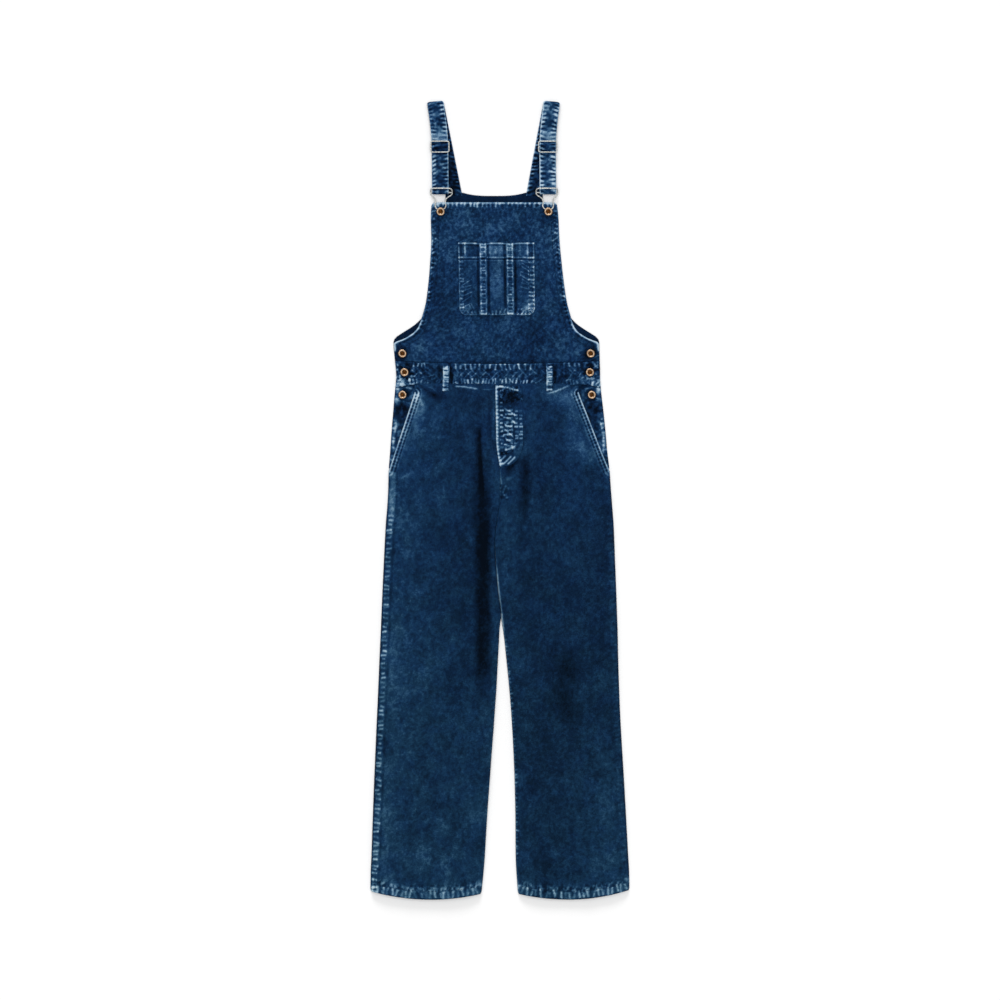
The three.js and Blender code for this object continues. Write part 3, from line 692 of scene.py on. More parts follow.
def hem_line(side):
    x = np.linspace(34, 228, 30)
    inner = inseam_half(0.0) + side * inseam_middle(0.0)
    across = np.clip((x - inner) / (outline(0.0) - inner), 0, 1)
    return Line(np.stack([side * x, hem_rise(across, side)], 1), side)


def button_shade(side, number):
    """Painted shade round a side button, where the cloth is also dented."""
    return patch(SIDE_BUTTONS[SIDES[side]][number], SIDE_BUTTONS["up"][number], 11, 11, -1.5, -0.4)


def leg_parts(side):
    """Relief that both legs' fronts have, the right one's side seam and left one's inseam strongest."""
    hem, seam, pocket = hem_line(side), side_line(outline, side, 0, 745), pocket_line(side)
    inseam = inseam_line(side)
    left = side > 0
    much = 0.25 if left else 1.0
    return [
        ripples(1.6, 0.05, 40 + side),
        *all_strokes((hem, 1.5, 14.5, 8.5, 0.8, 0.95, 10 + side, 0, None, 0.3),
                     (seam, 3, 12, 8.2, 0.9 * much, 1.05 * much, 14 + side, 0, (-40, 690)),
                     (inseam, 1, 5, 7, 0.2, 0.9 if left else 0.2, 20 + side, 0, (60, 470))),
        *stripes((hem, 7, 8, 0.3, 0.32),
                 (hem, 0.5, 1.2, 0, -0.3),
                 (hem, 18, 6, 0, 0.25),
                 (seam, 8, 6, 0, 0.2 * much),
                 (seam, 1, 1.8, 0, -0.35 * much),
                 (seam, 15.5, 2, -0.4 * much, -0.3 * much),
                 (inseam, 1, 1.6, 0, 0.5 if left else 0.2),
                 (pocket, 5, 5.4, 0.2, 0.55),
                 (pocket, 1.2, 1.7, 0.2, 1.15),
                 (pocket, 7.6, 1.4, 0.1, 0.55),
                 (pocket, 12.6, 1.6, 0.1, 0.3)),
        *all_spots((pocket, 4.4, 5.7, -0.4, -2.6, 18 + side),
                   (pocket, 9.9, 5.7, -0.3, -1.7, 22 + side, None, 1.5)),
        only(mottle(0.7, 12 + side, 4, 5, 0.3), band(hem, 18, 7)),
        *mottles((0.15, 24 + side, 3.4, 3.8, 0.1), (0.11, 28 + side, 9, 16)),
    ]


LEG_MARKS = {
    # The patch at (42, 730) is painted shade in the trough beside the fly.
    1: patches((110, 420, 110, 420, -0.24), (60, 600, 40, 120, -0.1), (42, 730, 9, 60, -0.35),
               (118, 386, 14, 40, -0.15), (70, 240, 30, 140, -0.15), (75, 60, 20, 60, -0.2),
               (190, 80, 30, 120, 0.14), (20, 752, 18, 14, -0.35), (145, 800, 22, 24, 0.5),
               (165, 776, 16, 18, 0.3), (114, 885, 30, 12, 0.45), (128, 850, 16, 30, 0.25),
               (185, 640, 16, 160, -0.15), (175, 728, 14, 3, 0.3, 0.4), (45, 791, 9, 18, 0.5))
    # Troughs here are painted darker as shade; the ridges are paler where worn.
    + creases(([(46, 870), (46, 820), (48, 770), (46, 700), (42, 640)], 2.4, 8, 8, -0.35),
              ([(74, 900), (74, 850), (77, 730), (74, 660)], 1.4, 12, 14, -0.15),
              ([(119, 470), (119, 400), (116, 300), (115, 250)], 1.5, 18, 18, -0.28, 90),
              ([(4, 752), (16, 757), (38, 775)], 1.6, 5, 5, -0.4, 12),
              ([(8, 738), (22, 742), (38, 753)], -1.2, 2.5, 4, 0.45, 10),
              ([(5, 728), (14, 722), (26, 724)], -0.8, 2, 3, 0.35, 8),
              ([(1.5, 758), (2.4, 742), (3.5, 726)], -0.5, 1.3, 1.3, 0.5, 6),
              ([(4, 722), (7, 712), (12, 704)], -0.4, 1.2, 1.2, 0.6, 5),
              ([(84, 888), (101, 893), (118, 900), (128, 905)], -0.9, 1.6, 1.6, 1.0, 8))
    + [only(mottle(0.6, 34, 4, 3, 0.2), box(7, 716, 8, 14, 0.6))],
    -1: patches((-60, 560, 60, 280, -0.24), (-50, 830, 45, 60, -0.1), (-14, 850, 5, 45, -0.35),
                (-190, 400, 22, 90, 0.3), (-175, 640, 26, 130, 0.1), (-190, 700, 10, 36, 0.5),
                (-205, 90, 22, 120, 0.15), (-136, 868, 11, 24, 0.55), (-144, 838, 9, 40, 0.35),
                # The last patch here is painted shadow under the waistband's sagging edge, with a dent.
                (-60, 60, 120, 40, 0.08), (-110, 885, 16, 10, -0.5, -0.5))
    # Troughs here are painted darker as shade; the ridges are paler where worn.
    + creases(([(-28.5, 800), (-28.5, 702), (-28, 597), (-27, 491), (-26, 400), (-26, 320)],
               4.5, 12, 14, -0.8, 130, 3),
              ([(-33, 840), (-33, 808), (-32, 770), (-31, 740), (-30, 700)], 3, 3, 6, -0.9, 25),
              ([(-5.5, 884), (-9, 845), (-11, 800)], -0.6, 2.5, 2.5, 0.3, 20),
              ([(-144.5, 891), (-137.5, 880), (-132.2, 866), (-134.8, 850)],
               -0.9, 2.4, 2.4, 0.4, 8),
              ([(-137, 893), (-143, 886), (-147, 874)], -0.6, 3.2, 3.2, 0.9, 4),
              ([(-124, 902), (-114, 897), (-105, 889)], -0.5, 1.3, 1.3, 0.5, 5),
              ([(-78, 902), (-58, 901), (-42, 898), (-33, 896.8)], -0.8, 1.7, 1.7, 1.4, 5),
              ([(-30, 896.5), (-20, 896), (-9, 896)], -0.4, 1.2, 1.2, 0.6, 4),
              ([(-176, 738), (-166, 744), (-148, 752)], -0.6, 2, 3, 0.4, 8),
              # This trough is painted shadow under the waistband's sagging edge.
              ([(-140, 905), (-124, 893), (-106, 884)], 0.8, 2, 3, -0.5, 8)),
}
LEG_RELIEF = {side: leg_parts(side) + LEG_MARKS[side] for side in SIDES}


def leg_height(x, up, side):
    """Height of a leg's front without its relief, and the lowest that its relief may make it."""
    outer = dome(leg_outer(up, side) - side * x, EDGE_ROLL)
    inner = dome(side * (x - inseam_middle(up)) - inseam_half(up), EDGE_ROLL * 0.8)
    joined = smooth((up - CROTCH) / 250)
    loft = LEG_LOFT * outer * mix(inner, 1, joined) * mix(1, 0.5, smooth((up - 800) / 100))
    loft = loft * mix(0.75, 1, smooth(up / 120))
    over_facing = 1 - smooth((pocket_edge(up, side) - side * x - 16) / 16)
    facing = LAYER * smooth((up - FACING_LOW) / 12) * over_facing
    return LAYER + CLOTH + np.maximum(loft, facing), LAYER + CLOTH + facing - 0.9


def leg_top(x, up, side):
    """Height of a leg's front, and how worn it is or how darkened by painted shade."""
    plain_height, lowest = leg_height(x, up, side)
    height, wear = relief(LEG_RELIEF[side], x, up)
    return np.maximum(plain_height + height, lowest), wear


def bib_height(x, up):
    return LAYER + CLOTH + BIB_LOFT * dome(front_bib(up) - np.abs(x), EDGE_ROLL)


def band_height(x, up):
    return LAYER + BAND_THICK + BAND_LOFT * dome(outline(up) - np.abs(x), EDGE_ROLL)


# ---- Legs ----
def leg_front(side):
    wide, edge = 195, EDGE[-1]  # the hem's width, and the part of it whose columns don't spread
    level, place = grid(bands(WAIST_SEAM - GAP + 6, EDGE, (), 1.75), both_ends(wide, EDGE, 1.75))
    up = above_hem(level, (place if side > 0 else wide - place) / wide, side)
    corner = 4.5 * (1 - np.sqrt(1 - np.clip(1 - level / 5.5, 0, 1) ** 2))
    inner = inseam_middle(up) + side * (inseam_half(up) + corner)
    outer = side * (leg_outer(up, side) - corner)
    left, right = (inner, outer) if side > 0 else (outer, inner)
    middle = left + edge + (place - edge) / (wide - 2 * edge) * (right - left - 2 * edge)
    x = np.where(place >= wide - edge, right - (wide - place), middle)
    x = np.where(place <= edge, left + place, x)
    top, wear = leg_top(x, up, side)
    from_side, from_inseam = side * (outer - x), side * (x - inner)
    below = smooth((CROTCH + 8 - up) / 24)
    over_facing = up > POCKET_EDGE["up"][0]
    top = top - np.where(over_facing, rolled(from_side), turned(from_side, SEAM_DROP))
    top = top - below * turned(from_inseam, 2.4) - (1 - below) * 0.8 * bump(from_inseam / 1.2)
    top = np.maximum(top - rolled(level), LOWEST)
    under = LAYER + np.where(over_facing, LAYER, 0) * smooth((24 - from_side) / 10)
    at_side = (from_side < 0.1) & ~over_facing
    under = np.where(at_side | ((from_inseam < 0.1) & (up < CROTCH)), SEAM_UNDER, under)
    if side > 0:
        joint = bump((from_inseam - 1.2) / 1.8) * smooth((640 - up) / 90) * smooth((up - 440) / 60)
        wear = wear + 1.2 * joint
    under = np.minimum(under, top - THINNEST)
    cloth(f"leg_front_{SIDES[side]}", "denim", x, up, top, under, wear, f"leg_back_{SIDES[side]}")


def leg_back(side):
    level, place = grid(bands(WAIST_SEAM - GAP, (0, 0.6, 1.2), (), 6.0),
                        both_ends(1, (0, 0.005, 0.01), 0.03))
    across = place if side > 0 else 1 - place
    up = above_hem(level, across, side)
    inner = inseam_middle(up) + side * (inseam_half(up) + BACK_INSET * smooth((CROTCH + 5 - up) / 20))
    outer = side * (outline(up) - BACK_INSET)
    x = mix(inner, outer, across)
    seam = np.minimum(side * (x - inner), side * (outer - x))
    wear = 0.3 * clouds(70 + side, 60, 90)(x, up) + 0.5 * bump((up - 8) / 9) + 0.5 * bump((seam - 4) / 6)
    back_piece(f"leg_back_{SIDES[side]}", x, up, wear)


def back_piece(name, x, up, wear):
    """A level piece of cloth on the floor."""
    level = np.zeros_like(x)
    cloth(name, "denim_inside", x, up, level + CLOTH, level, wear, "the surface it lies on",
          DENIM_BACK, 1, 1)


def pocket_facing(side):
    low = 758
    level, across = grid(bands(WAIST_SEAM + 4 - low, (), (), 1.5), bands(1, (0,), (0, 0.01, 0.03), 0.03))
    up = low + level
    inner = pocket_edge(up, side) - 11 * smooth((up - 750) / 40)
    x = mix(inner, outline(up), across)
    from_side = outline(up) - x
    edge = side_line(outline, 1, FACING_LOW, 905)
    button = abs(SIDE_BUTTONS[SIDES[side]][2])
    parts = [
        strokes(edge, 1, 7, 8, 0.6, 1.0, 60 + side, span=(-40, 110)),
        stripe(edge, 2, 4, 0, 0.3),
        mottle(0.55, 64 + side, 5.5, 6, 0.5),
        *patches((176, 893, 6, 9, 1.0, 0.3), (176, 877, 6, 6, 0.7), (160, 897, 12, 5, 0.4),
                 (152, 884, 5, 12, 0.5), (162, 850, 12, 12, -0.15), (176, 862, 5, 5, -0.2),
                 (179, 832, 6, 12, 0.5), (184, 800, 6, 24, 0.75), (150, 850, 5, 30, -0.25),
                 # The patch at 887 is painted shade round the lowest side button.
                 (button, 887, 8.5, 8.5, -0.9), (button, 866, 12, 10, -0.35)),
        *creases(([(146, 868), (162, 874), (180, 878)], -0.6, 1.6, 1.6, 0.6, 6),
                 ([(150, 897), (166, 900), (182, 896)], -0.6, 1.8, 1.8, 0.8, 4),
                 ([(170, 883), (176, 880), (184, 880)], -0.6, 1.8, 1.8, 0.9, 4),
                 ([(178, 845), (183, 820), (187, 790)], -0.6, 2.2, 2.2, 0.7, 8)),
    ]
    height, wear = relief(parts, x, up)
    top = np.maximum(LAYER + CLOTH + height * smooth(from_side / 3) - turned(from_side, 2.4), LOWEST)
    under = np.minimum(np.where(from_side < 0.1, SEAM_UNDER, LAYER), top - THINNEST)
    arrays = (x, up, top, under, wear - 0.3)
    if side < 0:
        arrays = [array[:, ::-1] for array in (-x, *arrays[1:])]
    cloth(f"pocket_facing_{SIDES[side]}", "denim_inside", *arrays, f"leg_back_{SIDES[side]}")


# ---- Waistband and plain bands ----
def waistband_front():
    half = 180.5
    rise, across = grid(both_ends(1, (0, 0.008, 0.02, 0.04), 0.03), both_ends(2 * half, EDGE, 1.3))
    level_x = across - half
    low, high = band_edge(level_x), WAIST_TOP + band_rim(level_x)
    up = mix(low, high - GAP, rise)
    x = level_x * outline(up) / half
    bottom = Line([(place, float(band_edge(place))) for place in np.linspace(-181, 181, 46)])
    rim = Line([(place, WAIST_TOP + band_rim(place)) for place in np.linspace(-181, 181, 31)], -1)
    loops = [LOOPS[name] for name in SIDES.values()]
    parts = [
        *all_strokes((rim, 1, 10, 6.3, 0.7, 1.3, 90, 0, (20, 64), 0.27),
                     (rim, 1, 11, 8.6, 0.8, 1.2, 92, 0, (92, 264), 0.21),
                     (rim, 1, 9, 9.4, 0.6, 1.1, 94, 0, (284, 350), 0.22),
                     (rim, 9, 22, 12, 0.5, 0.55, 88, 1, None, 0.14),
                     (bottom, 1, 11, 5.9, 0.7, 1.4, 80, 0, (14, 66), 0.3),
                     (bottom, 0.5, 11, 6, 0.8, 1.35, 82, 0.05, (92, 262), 0.27, 0.16),
                     (bottom, 2, 11, 6.2, 0.7, 1.3, 86, 0, (272, 342), 0.3, 0.4),
                     (bottom, 3, 12, 8.6, 0.5, 0.6, 83, -0.9, (60, 300), 0.16),
                     (bottom, 12, 25, 11, 0.5, 0.6, 87, 0.9, None, 0.14)),
        *stripes((bottom, 1, 1.2, 0, 0.6, (95, 218)), (rim, 1.2, 1, 0.1, 0.5, (95, 300)),
                 (bottom, 6, 6, 0, 0.2), (rim, -0.2, 1, 0, -0.7)),
        *patches((0, 922, 190, 30, 0.08), (-174, 922, 12, 26, 0.75), (-155, 912, 22, 9, 0.5),
                 (-160, 940, 10, 6, -0.6), (174, 918, 10, 24, 0.85), (158, 910, 12, 8, 0.6),
                 # The patches at 903 and 905 are painted shadow along the band's sagging lower edge, with a
                 # dent.
                 (-118, 925, 16, 16, -0.25), (112, 925, 12, 14, -0.3), (-128, 903, 20, 10, -0.4, -0.8),
                 (115, 905, 20, 10, -0.4, -0.8),
                 # Painted shadow down both sides of each belt loop, darkest on its right, where the band is
                 # also dented.
                 *[(place + 9, 918, 4, 26, -1.1, -0.7) for place in loops],
                 *[(place - 9, 930, 4, 16, -0.6, -0.5) for place in loops]),
        mottle(0.42, 100, 4, 5, 0.3),
        only(mottle(1.0, 104, 4, 4, 0.5), box(-164, 914, 22, 26)),
        only(mottle(1.0, 106, 4.5, 4, 0.5), box(170, 918, 16, 26)),
        *[button_shade(side, 1) for side in SIDES],
    ]
    height, wear = relief(parts, x, up)
    from_edge = np.minimum(up - low, high - up)
    from_side = outline(up) - np.abs(x)
    top = band_height(x, up) + height * smooth(from_edge / 3) - turned(from_edge, 1.4, 2.5)
    top = np.maximum(top - turned(from_side, 3.0), LOWEST)
    under = np.minimum(np.where(from_side < 0.1, SEAM_UNDER, LAYER), top - THINNEST)
    cloth("waistband_front", "denim_faded", x, up, top, under, wear, "waistband_back")


def flat_band(name, low, high, half, inset=0.0, dip=0.0):
    """A plain back piece; its upper edge may dip between the straps."""
    rise, across = grid(both_ends(1, (0, 0.005), 5.0 / (high - low)), both_ends(1, (0, 0.004), 0.02))
    up = mix(low, high, rise)
    x = (half(up) - inset) * (2 * across - 1)
    neck = STRAP["root_x"] - STRAP["half"]
    up = up - dip * np.clip(1 - np.abs(x / neck) ** 3, 0, 1) * smooth((up - 1150) / (high - 1150))
    wear = 0.1 * clouds(75, 50, 60)(x, up)
    if dip:
        wear = wear + 0.25 * bump((high - up - 4) / 3)
    back_piece(name, x, up, wear)


# ---- Bib and its pocket ----
BIB_SIDES = {side: side_line(front_bib, side, 966, BIB_TOP - 6, 70) for side in SIDES}
BIB_TOP_LINE = Line([(-108, BIB_TOP), (108, BIB_TOP)], -1)
BIB_RIPPLES = ripples(1.1, 0.05, 140, 45, 60)


def bib_side_parts(line, seed):
    """Relief beside one side of the bib."""
    return [
        *all_strokes((line, 2.2, 8.5, 8.4, 0.6, 1.0, seed, 0.3, (60, 400), 0.24),
                     (line, 6, 13, 8.4, 0.4, 0.6, seed + 5, -0.7, (170, 400), 0.16)),
        *all_spots((line, 3.2, 7.4, 0.2, 0.8, seed + 7, (50, 260)),
                   (line, 5, 6.4, -0.4, -1.2, seed + 8, (8, 230))),
        *stripes((line, 1, 1.2, 0.2, 0.6), (line, 1.4, 1.8, 0.5, 1.1, (-40, 85)),
                 (line, 1.8, 2.6, 0.3, 0.7, (-40, 34)), (line, 13, 1.2, -0.3, -0.15)),
    ]


BIB_RELIEF = [
    *bib_side_parts(BIB_SIDES[1], 110),
    *bib_side_parts(BIB_SIDES[-1], 90),
    strokes(BIB_TOP_LINE, 2.4, 8.5, 7.6, 0.5, 1.15, 120, thick=0.27),
    stripe(BIB_TOP_LINE, 1.5, 1.9, 0.3, 1.1),
    spots(BIB_TOP_LINE, 1.6, 7.6, 0.2, 0.8, 122),
    *patches((-96, 1224, 10, 5, 0.7), (96, 1224, 10, 5, 0.7), (-104, 1218, 6, 6, 0.8),
             (104, 1218, 6, 6, 0.7), (-85, 1165, 30, 45, 0.25), (90, 1165, 20, 50, 0.1),
             (-140, 968, 30, 14, 0.3), (135, 965, 26, 12, 0.2), (-95, 1060, 26, 60, -0.12),
             (95, 1080, 20, 60, 0.1), (-165, 957, 12, 6, 0.4), (0, 1190, 70, 20, 0.14),
             (-40, 990, 90, 30, 0.06), (0, 943, 150, 5, -0.4), (60, 980, 40, 30, -0.1),
             # Painted shade round the bib buttons, where the cloth is also dented.
             *[(side * STRAP["hang_x"], BIB_BUTTON_UP, 12, 12, -0.7, -0.3) for side in SIDES]),
    crease([(160, 947), (172, 953), (181, 958)], -0.4, 1.6, 1.6, 0.9, 5),
    *[button_shade(side, 0) for side in SIDES],
    *mottles((0.34, 125, 3.4, 3.8, 0.1), (0.09, 128, 12, 14)),
    BIB_RIPPLES,
]


def bib_surface(x, up):
    height, wear = relief(BIB_RELIEF, x, up)
    return bib_height(x, up) + height, wear


def bib_front():
    wide = 220  # near its top
    level, across = grid(bands(BIB_TOP - WAIST_TOP, (), EDGE, 1.4),
                         both_ends(1, [place / wide for place in EDGE], 1.34 / wide))
    up = WAIST_TOP + level
    x = front_bib(up) * (2 * across - 1)
    up = up + band_rim(x) * (1 - smooth(level / 25))
    top, wear = bib_surface(x, up)
    from_side = front_bib(up) - np.abs(x)
    drop = mix(turned(from_side, SEAM_DROP), rolled(from_side), smooth((up - 975) / 4))
    beyond = smooth((np.abs(x) - back_bib(up) - 2) / 10) * smooth((up - 1000) / 20)
    top = np.maximum(top - drop - rolled(BIB_TOP - up) - 1.5 * beyond, LOWEST)
    under = np.minimum(LAYER - 1.6 * beyond, top - 0.6)
    cloth("bib_front", "denim", x, up, top, under, wear, "bib_back")


def pocket_half(up):
    below = np.clip((BIB_POCKET["low"] + BIB_POCKET["corner"] - up) / BIB_POCKET["corner"], 0, 1)
    return BIB_POCKET["half"] - BIB_POCKET["corner"] * (1 - np.sqrt(1 - below**2))


def pocket_outline():
    """The bib pocket's sewn edge, from its top on the wearer's right round to the other."""
    pocket, corner = BIB_POCKET, BIB_POCKET["corner"]
    side = [(pocket["half"], pocket["high"])]
    for angle in np.linspace(math.pi, 1.5 * math.pi, 7):
        side.append((pocket["half"] - corner * (1 + math.cos(angle)),
                     pocket["low"] + corner * (1 + math.sin(angle))))
    return Line([*[(pocket["middle"] - reach, up) for reach, up in side],
                 *[(pocket["middle"] + reach, up) for reach, up in reversed(side)]])


POCKET_LINE = pocket_outline()
POCKET_TOP = Line([(-72, BIB_POCKET["high"]), (72, BIB_POCKET["high"])], -1)
POCKET_HEM_UP = BIB_POCKET["high"] - BIB_POCKET["hem"]
POCKET_STRIPS = {side: BIB_POCKET["middle"] + side * BIB_POCKET["strip"] for side in SIDES}


def in_hem(x, up):
    """The share of the bib pocket's hem."""
    return smooth(0.5 + (up - POCKET_HEM_UP - 2) / 3)


def below_hem(x, up):
    return 1 - in_hem(x, up)


POCKET_RELIEF = [
    *[only(part, below_hem) for part in
      (strokes(POCKET_LINE, 2.2, 8.8, 7.4, 0.5, 0.9, 130, thick=0.24),
       *all_spots((POCKET_LINE, 2.6, 7.4, 0.2, 1.2, 134, (190, 400)),
                  (POCKET_LINE, 10.6, 7.4, 0.2, 1.2, 134, (190, 400))))],
    *[only(part, in_hem) for part in
      (stripe(POCKET_LINE, 12, 1.4, 0.2, 0.9), stripe(POCKET_LINE, 5, 2.4, -0.3, -0.5),
       strokes(POCKET_TOP, 5, 20, 11, 0.3, 0.4, 138))],
    *stripes((POCKET_LINE, 1.4, 1.6, 0.2, 0.6), (POCKET_LINE, 6, 5, 0, 0.1),
             (POCKET_TOP, 1.4, 1.6, 0.3, 1.2), (POCKET_TOP, 4.4, 1.4, -0.2, -0.4),
             (POCKET_TOP, BIB_POCKET["hem"], 1.5, 0.3, 0.85),
             (POCKET_TOP, BIB_POCKET["hem"] + 2.9, 1.3, -0.3, -0.5),
             (POCKET_TOP, BIB_POCKET["hem"] + 5.2, 1.1, 0.1, 0.6)),
    only(strokes(POCKET_LINE, 10, 26, 7, 0.4, 0.7, 137, 0.5, thick=0.14), box(48, 1100, 26, 30, 0.5)),
    only(strokes(POCKET_LINE, 8, 22, 8, 0.4, 0.6, 139, -0.4, thick=0.14), box(-50, 1062, 20, 30, 0.5)),
    # The first four patches are painted shadow just outside both edges of each pocket strip, and also dent
    # the cloth.
    *patches(*[(x + away, 1090, 2, 75, -1, -0.4) for x in POCKET_STRIPS.values() for away in (9.3, -9.3)],
             (0, 1080, 22, 60, 0.34), (0, 1140, 16, 10, 0.3), (-45, 1090, 12, 50, -0.05),
             (48, 1090, 14, 50, 0.3), (-54, 1040, 10, 9, 0.7), (56, 1040, 9, 8, 0.9),
             (0, 1140, 60, 12, 0.2)),
    *mottles((0.22, 145, 3.6, 4, 0.2), (0.16, 148, 9, 11), (0.06, 149, 1.8, 20)),
]


def pocket_height(x, up):
    return bib_height(x, up) + BIB_RIPPLES(x, up)[0] + LAYER


def pocket_surface(x, up):
    height, wear = relief(POCKET_RELIEF, x, up)
    return pocket_height(x, up) + height, wear


def bib_pocket():
    pocket = BIB_POCKET
    wide = 2 * pocket["half"]
    corner = pocket["corner"] * (1 - np.cos(np.linspace(0, math.pi / 2, 12)))
    above = pocket["corner"] + bands(pocket["high"] - pocket["low"] - pocket["corner"], (), EDGE, 1.15)[1:]
    level, across = grid(np.concatenate([corner, above]),
                         both_ends(1, [place / wide for place in EDGE], 1.15 / wide))
    up = pocket["low"] + level
    x = pocket["middle"] + pocket_half(up) * (2 * across - 1)
    top, wear = pocket_surface(x, up)
    from_edge = np.minimum(POCKET_LINE.near(x, up)[1], pocket["high"] - up)
    sag = 2.6 * bump((np.abs(x - pocket["middle"]) - pocket["strip"]) / 8)
    up = up - sag * smooth((up - POCKET_HEM_UP) / pocket["hem"])
    top = top - rolled(np.maximum(from_edge, 0), 1.1)
    under = np.minimum(bib_height(x, up) - 0.5, top - THINNEST)
    cloth("bib_pocket", "denim", x, up, top, under, wear, "bib_front")


def upright(low, high, half, ends, sides, step):
    """Grid of a narrow upright piece: heights, places beside its middle and distance to its edge."""
    level, across = grid(both_ends(high - low, ends, step), both_ends(2 * half, sides, 0.9))
    edge = np.minimum(np.minimum(across, 2 * half - across), np.minimum(level, high - low - level))
    return low + level, across - half, edge


def pocket_strip(side):
    low, high, middle = BIB_POCKET["low"], BIB_POCKET["high"], POCKET_STRIPS[side]
    half = BIB_POCKET["strip_half"]
    up, offset, from_edge = upright(low + 1, high - 1, half, (0, 0.5, 1), (0, 0.3, 0.9), 1.0)
    x = middle + offset
    line = Line([(middle, low), (middle, high + 2)])
    parts = [
        strokes(line, -4, 4, 5.8, 0.3, 0.9, 150 + side, thick=0.25, slant=0.12),
        *stripes((line, 4.6, 1.3, 0.1, 0.7), (line, -4.6, 1.3, 0.1, 0.7)),
        *patches((middle, high - 10, 8, 12, 0.45), (middle, high - 3, 8, 3, 0.5),
                 (middle, low + 3, 8, 2.5, 0.9), (middle, POCKET_HEM_UP - 2, 8, 2, -0.9)),
        mottle(0.3, 158 + side, 3, 3.4),
    ]
    height, wear = relief(parts, x, up)
    base = pocket_height(x, up) + 0.2
    top = base + 1.3 + height * 0.8 - rolled(from_edge, 0.8)
    cloth(f"pocket_strip_{SIDES[side]}", "denim_faded", x, up, top, base - 0.4, wear + 0.12,
          "bib_pocket", DENIM, 4, 1)


# ---- Fly and belt loops ----
FLY_LINE = Line([(float(inseam_middle(up)), up) for up in np.linspace(FLY["low"], WAIST_SEAM, 12)], -1)
FLY_RELIEF = [
    stripe(FLY_LINE, 1.9, 2.3, 0.4, 1.0),
    spots(FLY_LINE, 2.4, 6.4, 0.3, 0.8, 158, size=2.6),
    *all_strokes((FLY_LINE, 1, 6.5, 6.4, 0.3, 0.7, 159, 0, None, 0.3),
                 (FLY_LINE, 7.5, 13.5, 7.3, 0.6, 1.5, 160, 0, (10, 150), 0.3, 0.08),
                 (FLY_LINE, 15.5, 31, 7.3, 0.8, 1.4, 165, 0.05, (20, 112), 0.3, 0.1),
                 (FLY_LINE, 17, 30, 13, 0.5, 0.9, 172, -0.8, (26, 116), 0.14),
                 (FLY_LINE, 33, 39.5, 7.3, 0.4, 1.4, 176, 0, (24, 108), 0.3, 0.08),
                 (FLY_LINE, 41.5, 47, 7.3, 0.4, 1.4, 177, 0, (26, 106), 0.3, 0.08),
                 (FLY_LINE, 18, 34, 9, 0.3, 0.5, 183, 0.6, (112, 134), 0.16)),
    only(mottle(0.5, 174, 4, 3, 0.3), band(FLY_LINE, 22, 18, (10, 110))),
    only(mottle(0.6, 178, 3, 3), box(22, 884, 20, 12)),
    only(mottle(0.8, 181, 2.6, 2.6), box(18, 898, 22, 5)),
    *patches((20, 830, 26, 44, 0.2), (14, 774, 14, 10, -0.5), (4, 766, 3, 3, 0.8),
             (24, 882, 19, 13, -1.25, -0.6), (48, 790, 8, 24, 0.1)),
    # The first crease is a trough painted darker as shade; the others are pale worn ridges.
    *creases(([(0, 783), (12, 785), (27, 790)], 0.8, 2.6, 2.6, -1.0, 4),
             ([(9, 789.5), (20, 792.5), (31, 797)], -0.8, 2.2, 2.2, 1.5, 5),
             ([(1, 769), (7, 775), (14, 782)], -0.8, 1.9, 1.9, 1.6, 4),
             ([(5, 763), (14, 771), (24, 781)], -0.8, 1.9, 1.9, 1.7, 5),
             ([(13, 763), (21, 770), (31, 780)], -0.8, 1.9, 1.9, 1.5, 5),
             ([(-4, 901), (8, 901), (20, 898.6), (38, 894)], -0.8, 2.0, 2.0, 1.4, 3),
             ([(30, 890), (38, 884), (46, 874)], -0.3, 1.4, 1.4, 0.6, 6)),
]


def fly():
    rise = FLY["curve_from"] - FLY["low"]
    curve = FLY["low"] + rise * (1 - np.cos(np.linspace(0.12, math.pi / 2, 36)))
    rows = np.concatenate([curve, np.arange(FLY["curve_from"] + 1, WAIST_SEAM + 3, 1.0)])
    up, across = grid(rows, both_ends(1, (0, 0.01, 0.025, 0.05), 0.02))
    below = np.clip((FLY["curve_from"] - up) / rise, 0, 1)
    half = mix(FLY["narrow"], FLY["half"], np.sqrt(1 - below**2))
    x = inseam_middle(up) + mix(0.2, half, across)
    height, wear = relief(FLY_RELIEF, x, up)
    base, _ = leg_height(x, up, 1)
    top = base + LAYER + height - rolled(np.minimum(across, 1 - across) * half, 1.1)
    under = np.minimum(base - 0.4, top - THINNEST)
    cloth("fly", "denim_faded", x, up, top, under, wear, "leg_front_left", DENIM, 5)


